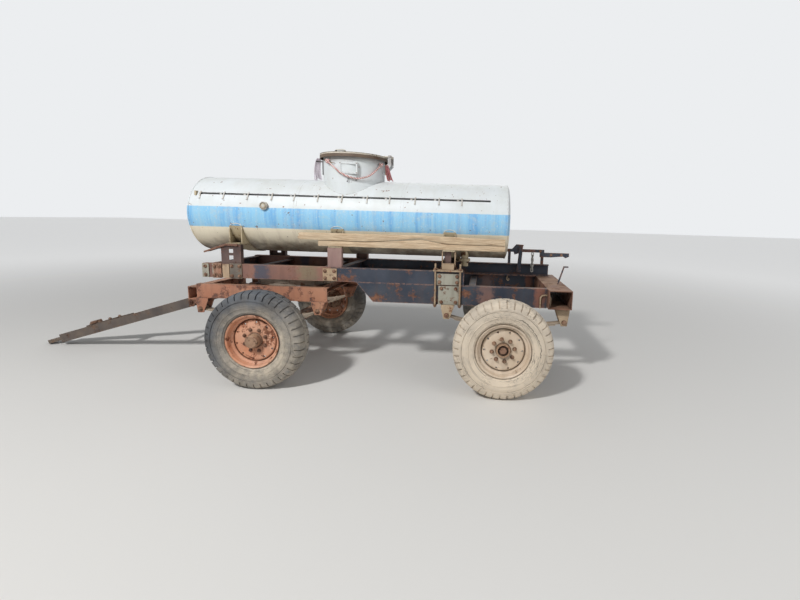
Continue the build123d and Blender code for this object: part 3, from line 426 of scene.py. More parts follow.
def place_copies(
    model: Piece, name: str, places: Iterable[Spot], jitter: Optional[random.Random] = None
) -> Piece:
    """Copies a model that faces +Z to many places and joins the copies.

    Args:
        model: The piece to copy; it is removed afterwards.
        name: The joined piece's name.
        places: Each copy's point and the way that it faces.
        jitter: A source of small random turns, or None for none.

    Returns:
        The joined piece.
    """
    twins = []
    for at, facing in places:
        turn = Vector(facing).to_track_quat("Z", "Y").to_matrix().to_4x4()
        spin = Matrix.Rotation(jitter.uniform(0, tau) if jitter else 0.0, 4, "Z")
        twins.append(copy_at(model, Matrix.Translation(at) @ turn @ spin))
    remove(model)
    return settle(join(twins, name))


def wheel_ring(y: float, radius: float, count: int, start: float) -> list[Spot]:
    """Places on a circle round a wheel's axle that face outwards, for nuts and holes."""
    turns = [start + tau * step / count for step in range(count)]
    return [((radius * cos(turn), y, radius * sin(turn)), (0, -1, 0)) for turn in turns]


def smooth_line(points: Sequence[Point], order: int = 3, steps: int = 8) -> Piece:
    """A curve object on one smooth line that is led by control points.

    Args:
        points: The control points.
        order: How smooth the line is; 2 gives straight runs.
        steps: How finely each run is drawn.

    Returns:
        The curve object, with no thickness yet.
    """
    line = bpy.data.curves.new("line", "CURVE")
    line.dimensions = "3D"
    spline = line.splines.new("NURBS")
    spline.points.add(len(points) - 1)
    for control, point in zip(spline.points, points):
        control.co = (*point, 1.0)
    spline.order_u = order
    spline.use_endpoint_u = True
    spline.resolution_u = steps
    holder = bpy.data.objects.new("line", line)
    bpy.context.scene.collection.objects.link(holder)
    return holder


def bent_rod(name: str, points: Sequence[Point], radius: float, order: int = 3) -> Piece:
    """A round bar, wire or hook along a smooth line, with closed ends.

    Args:
        name: The piece's name.
        points: The line's control points.
        radius: Its radius.
        order: How smooth the line is.

    Returns:
        The new piece.
    """
    holder = smooth_line(points, order)
    holder.data.bevel_depth = radius
    holder.data.bevel_resolution = 3
    holder.data.use_fill_caps = True
    activate(holder)
    bpy.ops.object.convert(target="MESH")
    piece = bpy.context.active_object
    piece.name = name
    return shade(piece, 50)


def line_points(points: Sequence[Point]) -> list[Vector]:
    """The points of the smooth line that control points lead.

    Args:
        points: The control points.

    Returns:
        Close points of the line, read from the curve itself.
    """
    holder = smooth_line(points, steps=14)
    drawn = bpy.data.meshes.new_from_object(holder)
    places = [vertex.co.copy() for vertex in drawn.vertices]
    bpy.data.meshes.remove(drawn)
    remove(holder)
    return places


def laid_rope(name: str, path: Sequence[Vector], radius: float, strands: int, turns: float) -> Piece:
    """A rope of several strands laid round each other along a path.

    Args:
        name: The rope's name.
        path: Close points of its middle line.
        radius: The rope's radius.
        strands: How many strands.
        turns: How many times they go round over the whole path.

    Returns:
        The joined strands.
    """
    pieces = []
    strand_radius = radius * 0.56
    offset = radius - strand_radius
    last = len(path) - 1
    for strand in range(strands):
        places = []
        for step, here in enumerate(path):
            run = (path[min(step + 1, last)] - path[max(step - 1, 0)]).normalized()
            side = run.cross(Vector((0, 0, 1))).normalized()
            lift = side.cross(run)
            turn = tau * (turns * step / last + strand / strands)
            places.append(here + side * offset * cos(turn) + lift * offset * sin(turn))
        pieces.append(bent_rod(f"{name}_strand", places, strand_radius, order=2))
    return join(pieces, name)


def knot(name: str, centre: Point, size: float, radius: float) -> Piece:
    """A rope's overhand knot, pulled into a lump.

    Args:
        name: The piece's name.
        centre: The lump's middle.
        size: How far the rope goes round it.
        radius: The rope's radius in the knot.

    Returns:
        The new piece.
    """
    places = []
    for step in range(19):
        turn = tau * step / 18
        x = centre[0] + size * (sin(turn) + 2 * sin(2 * turn)) / 3
        z = centre[2] + size * (cos(turn) - 2 * cos(2 * turn)) / 3
        places.append((x, centre[1] - size * 0.8 * sin(3 * turn) / 2, z))
    return bent_rod(name, places, radius)


@dataclass(frozen=True)
class Rag:
    """A cloth strip that hangs from a tie: gathered at the top, folded, with a ragged foot."""

    name: str
    finish: str
    # How long the flat cloth is from its tie to its foot
    length: float
    # How wide it hangs at the top and at the foot
    widths: Pair
    folds: float
    depth: float
    seed: int

    def hang(self, top: Point, bottom: Point) -> Piece:
        """Models the cloth, not yet thickened.

        Args:
            top: Where it is tied.
            bottom: The middle of its lower edge.

        Returns:
            The cloth.
        """
        clear_selection()
        bpy.ops.mesh.primitive_grid_add(x_subdivisions=36, y_subdivisions=40, size=1, location=ORIGIN)
        piece = bpy.context.active_object
        piece.name = self.name
        chance = random.Random(self.seed)
        phases = [chance.uniform(0, tau) for _ in range(4)]
        run = Vector(bottom) - Vector(top)
        for vertex in piece.data.vertices:
            across, down = vertex.co.x + 0.5, 0.5 - vertex.co.y
            wave = tau * self.folds * across
            width = self.widths[0] + (self.widths[1] - self.widths[0]) * down**0.55
            sway = 0.12 * width * sin(3.1 * down + phases[0])
            fold = self.depth * sin(wave + phases[1] + 1.6 * down) * (0.55 + 0.45 * down)
            creases = tau * self.folds * 2.3 * across
            crease = self.depth * 0.35 * sin(creases + phases[2] - 2.4 * down)
            hem = 0.05 * (sin(9.0 * across + phases[3]) + 0.6 * sin(23.0 * across)) * down**2
            place = Vector(top) + run * min(down * (1 + hem), 1.06)
            vertex.co = place + Vector((width * (across - 0.5) + sway, fold + crease, 0))
        return shade(piece, 60)


# Shader nodes


class Signal:
    """One output in a node tree, on which arithmetic adds Math nodes."""

    def __init__(self, canvas: "Canvas", socket: Socket) -> None:
        """Takes the tree's canvas and the output."""
        self.canvas = canvas
        self.socket = socket

    def __add__(self, other: Value) -> "Signal":
        """The sum."""
        return self.canvas.math("ADD", self, other)

    def __sub__(self, other: Value) -> "Signal":
        """The difference."""
        return self.canvas.math("SUBTRACT", self, other)

    def __rsub__(self, other: float) -> "Signal":
        """The difference from a number."""
        return self.canvas.math("SUBTRACT", other, self)

    def __mul__(self, other: Value) -> "Signal":
        """The product."""
        return self.canvas.math("MULTIPLY", self, other)

    def __truediv__(self, other: Value) -> "Signal":
        """The quotient."""
        return self.canvas.math("DIVIDE", self, other)

    def __abs__(self) -> "Signal":
        """The size without its sign."""
        return self.canvas.math("ABSOLUTE", self)

    def most(self, other: Value) -> "Signal":
        """The larger of two values."""
        return self.canvas.math("MAXIMUM", self, other)

    def sine(self) -> "Signal":
        """The sine."""
        return self.canvas.math("SINE", self)

    def clamped(self) -> "Signal":
        """The same value, kept between 0 and 1 by the Math node that gives it."""
        self.socket.node.use_clamp = True
        return self

    def span(self, low: float, high: float, to_low: float = 0.0, to_high: float = 1.0) -> "Signal":
        """Maps the range from low to high to another one, smoothly and clamped."""
        values = {0: self, 1: low, 2: high, 3: to_low, 4: to_high}
        return self.canvas.out("ShaderNodeMapRange", 0, values, interpolation_type="SMOOTHSTEP")


class Canvas:
    """A node tree with short ways to add nodes and link them."""

    def __init__(self, tree: bpy.types.NodeTree, groups: Optional[dict] = None) -> None:
        """Takes the tree that nodes are added to, and the shared effects' groups."""
        self.tree = tree
        self.groups = groups

    def feed(self, node: bpy.types.Node, values: dict[Union[str, int], Value]) -> None:
        """Sets a node's inputs, or links them where the value is an output.

        Args:
            node: The node.
            values: Values by socket name or index.
        """
        for key, value in values.items():
            if isinstance(value, Signal):
                self.tree.links.new(value.socket, node.inputs[key])
            else:
                node.inputs[key].default_value = value

    def add(self, kind: str, values: Optional[dict] = None, **settings: object) -> bpy.types.Node:
        """Adds one node.

        Args:
            kind: The node's type.
            values: Input values by socket name or index.
            **settings: The node's own properties.

        Returns:
            The new node.
        """
        node = self.tree.nodes.new(kind)
        for key, value in settings.items():
            setattr(node, key, value)
        self.feed(node, values or {})
        return node

    def out(
        self, kind: str, output: Union[str, int], values: Optional[dict] = None, **settings: object
    ) -> Signal:
        """Adds one node and gives one of its outputs."""
        return Signal(self, self.add(kind, values, **settings).outputs[output])

    @cached_property
    def place(self) -> Signal:
        """The Object coordinates."""
        return self.out("ShaderNodeTexCoord", "Object")

    def part(self, axis: str, vector: Optional[Signal] = None) -> Signal:
        """One component, X, Y or Z, of a vector or else of the Object coordinates."""
        return self.out("ShaderNodeSeparateXYZ", axis, {0: vector or self.place})

    def vector(self, x: Value, y: Value = 0.0, z: Value = 0.0) -> Signal:
        """A vector from its components."""
        return self.out("ShaderNodeCombineXYZ", 0, {0: x, 1: y, 2: z})

    def math(self, operation: str, first: Value, second: Value = 0.0) -> Signal:
        """A Math node's result."""
        return self.out("ShaderNodeMath", 0, {0: first, 1: second}, operation=operation)

    def mix(self, share: Value, below: Value, above: Value) -> Signal:
        """Mixes two colours by a mask; a plain colour is given by its channels as they look."""
        below, above = (linear(*side) if isinstance(side, tuple) else side for side in (below, above))
        return self.out("ShaderNodeMix", 2, {0: share, 6: below, 7: above}, data_type="RGBA")

    def noise(
        self, scale: Value, detail: float = 4.0, rough: float = 0.55, vector: Optional[Signal] = None
    ) -> Signal:
        """A noise texture's value, read at the Object coordinates or at another vector."""
        values = {"Vector": vector or self.place, "Scale": scale, "Detail": detail, "Roughness": rough}
        return self.out("ShaderNodeTexNoise", 0, values)

    def bump(self, height: Signal, distance: float, strength: float) -> Signal:
        """A Bump node's normal."""
        values = {"Strength": strength, "Distance": distance, "Height": height}
        return self.out("ShaderNodeBump", 0, values)

    def use(self, effect: "Effect", **values: Value) -> Signal:
        """Places a shared effect, with its inputs given by lower-case name."""
        named = {key.capitalize(): value for key, value in values.items()}
        return self.out("ShaderNodeGroup", 0, named, node_tree=self.groups[effect])


def new_material(
    name: str, groups: Optional[dict] = None
) -> tuple[bpy.types.Material, Canvas, bpy.types.Node]:
    """Starts a material with its Principled shader.

    Args:
        name: The material's name.
        groups: The shared effects' groups.

    Returns:
        The material, its canvas and the shader node.
    """
    material = bpy.data.materials.new(name)
    material.use_nodes = True
    tree = material.node_tree
    return material, Canvas(tree, groups), tree.nodes["Principled BSDF"]


# The shared effects, each drawn on the canvas of its group from the group's own inputs


def edge_wear(canvas: Canvas, width: Signal, breakup: Signal, amount: Signal) -> Signal:
    """A mask of the edges, broken up by noise.

    Args:
        canvas: The group's canvas.
        width: How wide the edges are.
        breakup: The noise's scale.
        amount: The strength.

    Returns:
        The mask.
    """
    rounded = canvas.out("ShaderNodeBevel", 0, {"Radius": width}, samples=4)
    flat = canvas.out("ShaderNodeNewGeometry", "Normal")
    facing = canvas.out("ShaderNodeVectorMath", "Value", {0: rounded, 1: flat}, operation="DOT_PRODUCT")
    broken = canvas.noise(breakup, 5.0, 0.65).span(0.38, 0.6)
    return (facing.span(0.995, 0.9) * broken * amount).clamped()


def settled_dust(canvas: Canvas, amount: Signal, height: Signal, scale: Signal) -> Signal:
    """A mask of dust that lies on tops and is thrown up low down.

    Args:
        canvas: The group's canvas.
        amount: The strength.
        height: How high it is thrown up.
        scale: The clouds' scale.

    Returns:
        The mask.
    """
    lying = canvas.part("Z", canvas.out("ShaderNodeNewGeometry", "Normal")).span(0.35, 0.95)
    low = (1.0 - canvas.part("Z") / height).clamped()
    cloud = canvas.noise(scale, 6.0, 0.6).span(0.3, 0.72)
    speck = canvas.noise(90.0, 2.0).span(0.35, 0.7, 0.75, 1.1)
    return (lying.most(low) * cloud * speck * amount).clamped()


def flaked_patches(canvas: Canvas, scale: Signal, cover: Signal, softness: Signal) -> Signal:
    """A mask of ragged patches where a coat has come off.

    Args:
        canvas: The group's canvas.
        scale: The noise's scale.
        cover: How much is bare.
        softness: How soft the rims are.

    Returns:
        The mask.
    """
    ragged = canvas.noise(scale, 8.0, 0.62) * 0.8 + canvas.noise(70.0, 3.0) * 0.2
    spread = (1.0 - cover) * 0.36 + 0.32
    return ((ragged - spread) / softness).clamped()


def running_streaks(canvas: Canvas, scale: Signal, amount: Signal, length: Signal) -> Signal:
    """A mask of stains that run down."""
    drawn = canvas.vector(canvas.part("X"), canvas.part("Y") * 0.3, canvas.part("Z") * length)
    return (canvas.noise(scale, 7.0, 0.65, drawn).span(0.46, 0.68) * amount).clamped()


def fine_grain(canvas: Canvas, scale: Signal, broad: Signal, balance: Signal) -> Signal:
    """A fine height for bumps: a close grain on a broader unevenness."""
    values = {0: balance, 2: canvas.noise(scale, 3.0, 0.6), 3: canvas.noise(broad, 4.0, 0.5)}
    return canvas.out("ShaderNodeMix", 0, values, data_type="FLOAT")


class Effect(Enum):
    """The shared shader effects, by the name of their node group."""

    EDGE_WEAR = "Edge wear"
    DUST = "Settled dust"
    PATCHES = "Flaked patches"
    STREAKS = "Running streaks"
    GRAIN = "Fine grain"


# What draws each effect, its output's name and its inputs' defaults
EFFECTS = {
    Effect.EDGE_WEAR: (edge_wear, "Mask", {"Width": 0.006, "Breakup": 30.0, "Amount": 1.0}),
    Effect.DUST: (settled_dust, "Mask", {"Amount": 0.6, "Height": 0.5, "Scale": 6.0}),
    Effect.PATCHES: (flaked_patches, "Mask", {"Scale": 6.0, "Cover": 0.4, "Softness": 0.06}),
    Effect.STREAKS: (running_streaks, "Mask", {"Scale": 14.0, "Amount": 0.5, "Length": 0.12}),
    Effect.GRAIN: (fine_grain, "Height", {"Scale": 160.0, "Broad": 18.0, "Balance": 0.5}),
}


def effect_group(effect: Effect) -> bpy.types.NodeTree:
    """Builds an effect's node group, with number inputs and one number output.

    Args:
        effect: Which effect.

    Returns:
        The group.
    """
    draw, output, inputs = EFFECTS[effect]
    tree = bpy.data.node_groups.new(effect.value, "ShaderNodeTree")
    for name, default in inputs.items():
        socket = tree.interface.new_socket(name, in_out="INPUT", socket_type="NodeSocketFloat")
        socket.default_value = default
    tree.interface.new_socket(output, in_out="OUTPUT", socket_type="NodeSocketFloat")
    canvas = Canvas(tree)
    source = canvas.add("NodeGroupInput")
    drawn = draw(canvas, *[Signal(canvas, source.outputs[name]) for name in inputs])
    canvas.add("NodeGroupOutput", {0: drawn})
    return tree


# Finishes


@dataclass(frozen=True)
class Finish:
    """What every finish has: a name and a way to become a material."""

    name: str

    def paint(self, canvas: Canvas) -> dict[str, Value]:
        """Draws the coat and gives the shader's inputs by name; each kind of finish has its own."""
        raise NotImplementedError

    def build(self, groups: dict[Effect, bpy.types.NodeTree]) -> bpy.types.Material:
        """Builds the material.

        Args:
            groups: The shared effects' groups.

        Returns:
            The finished material.
        """
        material, canvas, shader = new_material(self.name, groups)
        canvas.feed(shader, self.paint(canvas))
        return material


@dataclass(frozen=True)
class Zone:
    """A stretch along one axis where a coat has another colour; on the posts these stretches are painted
    shade.
    """

    axis: str
    low: float
    high: float
    coat: Colour
    share: float = 0.9
    soft: float = 0.003
    stray: float = 0.02


@dataclass(frozen=True)
class WornPaint(Finish):
    """A brushed or sprayed coat over rusting steel, with dust on it."""

    coat: Colour
    faded: Colour
    rust: Colour
    dark_rust: Colour
    cover: float
    patch_scale: float
    edge: float
    dust: float
    dust_colour: Colour = (186, 160, 130)
    dust_height: float = 0.9
    roughness: float = 0.62
    streaks: float = 0.3
    # A paler colour painted on the edges as a highlight
    edge_highlight: Optional[Colour] = None
    edge_width: float = 0.008
    # How strongly hollows and corners get painted shade
    hollow_shade: float = 0.75
    zones: tuple[Zone, ...] = ()

    def paint(self, canvas: Canvas) -> dict[str, Value]:
        """Draws the coat, its zones, the rust through it, a painted highlight on the edges, the stains, the
        dust and painted shade in hollows.

        Args:
            canvas: The material's canvas.

        Returns:
            The shader's inputs by name.
        """
        cloud = canvas.noise(3.5, 5.0).span(0.32, 0.68)
        coat = canvas.mix(cloud, self.coat, self.faded)
        for zone in self.zones:
            along = canvas.part(zone.axis) + (canvas.noise(11.0, 6.0, 0.7) - 0.5) * zone.stray
            inside = along.span(zone.low - zone.soft, zone.low + zone.soft)
            inside *= along.span(zone.high + zone.soft, zone.high - zone.soft)
            inside *= cloud.span(0.0, 1.0, zone.share, zone.share - 0.25)
            coat = canvas.mix(inside, coat, zone.coat)
        mottled = canvas.noise(24.0, 6.0, 0.7).span(0.3, 0.7)
        rust = canvas.mix(mottled, self.dark_rust, self.rust)
        gone = canvas.use(Effect.PATCHES, scale=self.patch_scale, cover=self.cover)
        edges = canvas.use(Effect.EDGE_WEAR, width=self.edge_width, amount=self.edge)
        bare = gone.most(edges)
        colour = canvas.mix(bare, coat, rust)
        # Painted highlight: the edges get a paler colour, as where light catches them
        if self.edge_highlight:
            lit = canvas.mix(mottled, self.edge_highlight, dimmed(self.edge_highlight, 0.72))
            colour = canvas.mix(edges, colour, lit)
        stain = canvas.use(Effect.STREAKS, amount=self.streaks)
        colour = canvas.mix(stain * 0.7, colour, self.dark_rust)
        dust = canvas.use(Effect.DUST, amount=self.dust, height=self.dust_height)
        colour = canvas.mix(dust, colour, self.dust_colour)
        # Painted shade: darker where ambient occlusion finds hollows and corners
        open_air = canvas.out("ShaderNodeAmbientOcclusion", "AO", {"Distance": 0.07}, samples=6)
        painted_hollow_shade = open_air.span(0.8, 0.25) * self.hollow_shade
        grain = canvas.use(Effect.GRAIN, scale=140.0, broad=26.0, balance=0.4)
        height = grain * bare.span(0.0, 1.0, 0.35, 1.0) - gone * 0.35
        return {
            "Base Color": canvas.mix(painted_hollow_shade, colour, dimmed(self.dark_rust, 0.55)),
            "Roughness": bare.most(dust).span(0.0, 1.0, self.roughness, 0.93),
            "Normal": canvas.bump(height, 0.0022, 0.8),
        }


@dataclass(frozen=True)
class TankPaint(Finish):
    """White over a sky-blue band over cream, with the runs and stains of years outdoors."""

    top: Colour = (220, 225, 227)
    chalky: Colour = (204, 208, 204)
    # Painted shade under the hatch's lid, with some grime
    grime: Colour = (126, 112, 104)
    band: Colour = (146, 202, 234)
    band_deep: Colour = (94, 164, 222)
    band_pale: Colour = (178, 204, 220)
    band_thin: Colour = (196, 204, 200)
    lower: Colour = (240, 230, 206)
    # Painted shade: the colour that the underside darkens to
    belly: Colour = (74, 52, 34)
    stain: Colour = (150, 120, 92)
    rust: Colour = (120, 74, 46)
    dust: Colour = (196, 184, 162)
    band_low: float = 1.418
    band_high: float = 1.618
    # The height under which the underside gets its painted shade
    belly_shade_top: float = 1.36
    banded: bool = True
    # The height from which the neck gets painted shade with some grime under the lid; 0 for none
    grime_and_shade_from: float = 0.0

    def banding(self, canvas: Canvas, level: Signal, colour: Signal) -> Signal:
        """Lays the blue band and the cream below it over the white.

        Args:
            canvas: The material's canvas.
            level: The height, a little wavy.
            colour: The white.

        Returns:
            The banded colour.
        """
        below = level.span(self.band_low + 0.004, self.band_low - 0.004)
        in_band = level.span(self.band_high + 0.003, self.band_high - 0.003)
        runs = canvas.use(Effect.STREAKS, scale=9.0, amount=0.85, length=0.05)
        pale = canvas.use(Effect.STREAKS, scale=23.0, amount=0.6, length=0.03)
        band = canvas.mix(runs, self.band, self.band_deep)
        band = canvas.mix(pale * 0.7, band, self.band_pale)
        band = canvas.mix(canvas.noise(8.0, 7.0, 0.7).span(0.5, 0.72) * 0.45, band, self.band_thin)
        band = canvas.mix(canvas.noise(60.0, 4.0, 0.7).span(0.56, 0.66) * 0.4, band, self.top)
        return canvas.mix(below, canvas.mix(in_band, colour, band), self.lower)

    def paint(self, canvas: Canvas) -> dict[str, Value]:
        """Draws the white, painted shade with some grime under the hatch's lid, its bands, painted shade on
        the belly, the stains, the chips and the dust.

        Args:
            canvas: The material's canvas.

        Returns:
            The shader's inputs by name.
        """
        height = canvas.part("Z")
        level = height + (canvas.noise(40.0, 4.0, 0.7) - 0.5) * 0.012
        cloud = canvas.noise(5.0, 6.0).span(0.35, 0.75)
        colour = canvas.mix(cloud * 0.6, self.top, self.chalky)
        # Painted shade, with some grime, on the neck under the lid
        if self.grime_and_shade_from:
            under = (level - cloud * 0.03).span(self.grime_and_shade_from, self.grime_and_shade_from + 0.05)
            colour = canvas.mix(under * 0.6, colour, self.grime)
        if self.banded:
            colour = self.banding(canvas, level, colour)
        # Painted shade on the underside, darker towards the bottom
        belly = (level + cloud * 0.08).span(self.belly_shade_top, self.belly_shade_top - 0.16)
        colour = canvas.mix(belly * 0.9, colour, self.belly)
        runs = canvas.use(Effect.STREAKS, scale=17.0, amount=0.5, length=0.1)
        colour = canvas.mix(runs * height.span(1.5, 1.2, 0.08, 0.6), colour, self.stain)
        spots = canvas.noise(34.0, 2.0, 0.5).span(0.705, 0.74)
        chips = canvas.use(Effect.PATCHES, scale=9.0, cover=0.06, softness=0.02)
        edges = canvas.use(Effect.EDGE_WEAR, width=0.006, breakup=45.0, amount=0.7)
        bare = spots.most(chips).most(edges)
        colour = canvas.mix(bare * 0.85, colour, self.rust)
        dust = canvas.use(Effect.DUST, amount=0.18, height=0.2, scale=4.0)
        grain = canvas.use(Effect.GRAIN, scale=120.0, broad=7.0, balance=0.75)
        return {
            "Base Color": canvas.mix(dust, colour, self.dust),
            "Roughness": bare.span(0.0, 1.0, 0.46, 0.9),
            "Normal": canvas.bump(grain, 0.004, 0.5),
        }


@dataclass(frozen=True)
class TyreRubber(Finish):
    """Old rubber with dust thrown over its side, radial about its own wheel."""

    centre: Point
    rubber: Colour = (38, 44, 53)
    side: Colour = (72, 80, 90)
    dust_colour: Colour = (192, 180, 162)
    dust: float = 0.42
    low_dust: float = 0.58
    cracks: float = 0.5
    # Whether the side has its one long crack
    long_crack: bool = False
    # How much the low dust climbs towards one side
    lean: float = 0.0
    # Radius and width of the dark lines round the side
    lines: tuple[Pair, ...] = (
        (0.262, 0.003), (0.304, 0.0022), (0.3135, 0.0018), (0.361, 0.003), (0.372, 0.0016),
    )

    def long_tear(self, canvas: Canvas, radius: Signal, turn: Signal) -> Signal:
        """A mask of the long crack that wanders round part of the side.

        Args:
            canvas: The material's canvas.
            radius: The distance from the axle.
            turn: The angle about the axle.

        Returns:
            The mask.
        """
        stray = (canvas.noise(14.0, 5.0, 0.7) - 0.5) * 0.055
        line = abs(radius + stray - 0.318).span(0.0032, 0.0012)
        return line * (turn.span(-0.16, -0.08) * turn.span(1.35, 1.1))

    def paint(self, canvas: Canvas) -> dict[str, Value]:
        """Draws the rubber, the dust on it, its crazing and its lines.

        Args:
            canvas: The material's canvas.

        Returns:
            The shader's inputs by name.
        """
        off_x = canvas.part("X") - self.centre[0]
        off_z = canvas.part("Z") - self.centre[2]
        flat = canvas.vector(off_x, off_z)
        radius = canvas.out("ShaderNodeVectorMath", "Value", {0: flat}, operation="LENGTH")
        turn = canvas.math("ARCTAN2", off_z, off_x)
        cloud = canvas.noise(7.0, 6.0, 0.6).span(0.3, 0.7)
        colour = canvas.mix(cloud, self.rubber, self.side)
        low = (off_z - off_x * self.lean).span(0.3, -0.35)
        amount = radius.span(0.37, 0.27) * self.dust + low * self.low_dust
        patch = canvas.noise(16.0, 7.0, 0.65).span(0.25, 0.75, 0.45, 1.1)
        amount = ((amount + 0.12) * patch).clamped()
        colour = canvas.mix(amount, colour, self.dust_colour)
        around = canvas.vector(turn * 0.6, radius * 9.0)
        values = {"Scale": 9.0, "Vector": around}
        crazed = canvas.out("ShaderNodeTexVoronoi", 0, values, feature="DISTANCE_TO_EDGE")
        crack = crazed.span(0.03, 0.0) * canvas.noise(5.0, 3.0).span(0.45, 0.6)
        colour = canvas.mix(crack * self.cracks, colour, (44, 38, 34))
        for reach, width in self.lines:
            line = abs(radius - reach).span(width, width * 0.3)
            worn = canvas.noise(9.0, 4.0).span(0.4, 0.66, 0.05, 0.7)
            colour = canvas.mix(line * worn, colour, (70, 66, 64))
        if self.long_crack:
            tear = self.long_tear(canvas, radius, turn)
            colour = canvas.mix(tear * 0.9, colour, (40, 34, 30))
            crack = crack.most(tear)
        grain = canvas.use(Effect.GRAIN, scale=110.0, broad=30.0, balance=0.5)
        height = (radius * 520.0).sine() * 0.1 + grain - crack * 1.2
        return {
            "Base Color": colour,
            "Roughness": amount.span(0.0, 1.0, 0.72, 0.95),
            "Normal": canvas.bump(height, 0.002, 0.8),
        }


@dataclass(frozen=True)
class WeatheredWood(Finish):
    """Grey, split planking with its grain along the trailer."""

    pale: Colour = (228, 206, 174)
    dark: Colour = (178, 150, 120)
    cloudy: Colour = (196, 178, 152)
    cleft: Colour = (70, 54, 42)

    def paint(self, canvas: Canvas) -> dict[str, Value]:
        """Draws the grain, its splits and the paler edges.

        Args:
            canvas: The material's canvas.

        Returns:
            The shader's inputs by name.
        """
        drawn = canvas.vector(canvas.part("X") * 0.06, canvas.part("Y"), canvas.part("Z"))
        grain = canvas.noise(120.0, 6.0, 0.7, drawn)
        cloud = canvas.noise(6.0, 4.0).span(0.3, 0.7)
        split = canvas.noise(60.0, 2.0, 0.4, drawn).span(0.3, 0.24)
        edges = canvas.use(Effect.EDGE_WEAR, width=0.008, amount=0.6)
        colour = canvas.mix(grain.span(0.35, 0.7), self.dark, self.pale)
        colour = canvas.mix(cloud * 0.4, colour, self.cloudy)
        colour = canvas.mix(split * 0.8, colour, self.cleft)
        return {
            "Base Color": canvas.mix(edges, colour, (228, 208, 176)),
            "Roughness": 0.88,
            "Normal": canvas.bump(grain - split * 0.8, 0.003, 0.9),
        }


@dataclass(frozen=True)
class TwistedFibre(Finish):
    """Rope or cloth: two colours in a fine twill, grubby."""

    first: Colour
    second: Colour
    thread: float = 260.0
    grime: float = 0.45

    def paint(self, canvas: Canvas) -> dict[str, Value]:
        """Draws the twill and its grime.

        Args:
            canvas: The material's canvas.

        Returns:
            The shader's inputs by name.
        """
        x, y, z = (canvas.part(axis) for axis in "XYZ")
        warp = ((x + z) * self.thread).sine()
        weft = ((z - y) * (self.thread * 1.7)).sine()
        strand = (warp + weft * 0.3).span(-0.5, 0.5)
        colour = canvas.mix(strand, self.first, self.second)
        grime = canvas.noise(22.0, 5.0).span(0.4, 0.75)
        grain = canvas.use(Effect.GRAIN, scale=420.0, broad=60.0, balance=0.3)
        return {
            "Base Color": canvas.mix(grime * self.grime, colour, (120, 100, 86)),
            "Roughness": 0.95,
            "Sheen Weight": 0.3,
            "Normal": canvas.bump(strand * 0.6 + grain, 0.0015, 0.9),
        }


# Name, coat, faded coat, rust, dark rust, bare share, patch scale, edge wear, dust
PLAIN_PAINTS = (
    ("brown_rust", (112, 80, 66), (134, 96, 76), (120, 76, 54), (64, 44, 38), 0.5, 9.0, 0.8, 0.4),
    ("cream_bracket", (184, 164, 136), (164, 142, 116), (140, 94, 66), (88, 60, 46), 0.3, 12.0, 1.0, 0.4),
    ("dull_steel", (120, 114, 106), (96, 90, 84), (122, 88, 66), (60, 50, 44), 0.35, 16.0, 0.6, 0.6),
    ("pale_leaf", (168, 156, 140), (146, 132, 116), (128, 92, 68), (84, 64, 52), 0.3, 18.0, 0.5, 0.6),
    ("hub_dusty", (176, 150, 122), (158, 126, 100), (128, 84, 58), (86, 58, 44), 0.35, 24.0, 0.9, 0.6),
    ("hub_rust", (140, 104, 82), (160, 128, 104), (112, 66, 44), (62, 40, 32), 0.45, 22.0, 0.8, 0.5),
    ("black_iron", (38, 38, 42), (56, 56, 60), (88, 62, 50), (44, 36, 32), 0.25, 12.0, 0.8, 0.45),
    # The next row is the slots' painted shade: a black that stands for the dark inside them
    ("slot_shade_black", (20, 21, 24), (32, 32, 34), (52, 40, 36), (30, 26, 26), 0.2, 12.0, 0.2, 0.05),
    ("clip_white", (214, 214, 208), (192, 188, 176), (140, 100, 74), (92, 66, 50), 0.16, 20.0, 0.8, 0.2),
    ("chalk_white", (236, 236, 232), (226, 224, 216), (196, 184, 168), (170, 158, 144), 0.02, 12, 0.05, 0.1),
    ("brass_wire", (150, 112, 58), (170, 132, 74), (110, 76, 48), (58, 44, 36), 0.3, 30.0, 0.6, 0.3),
)
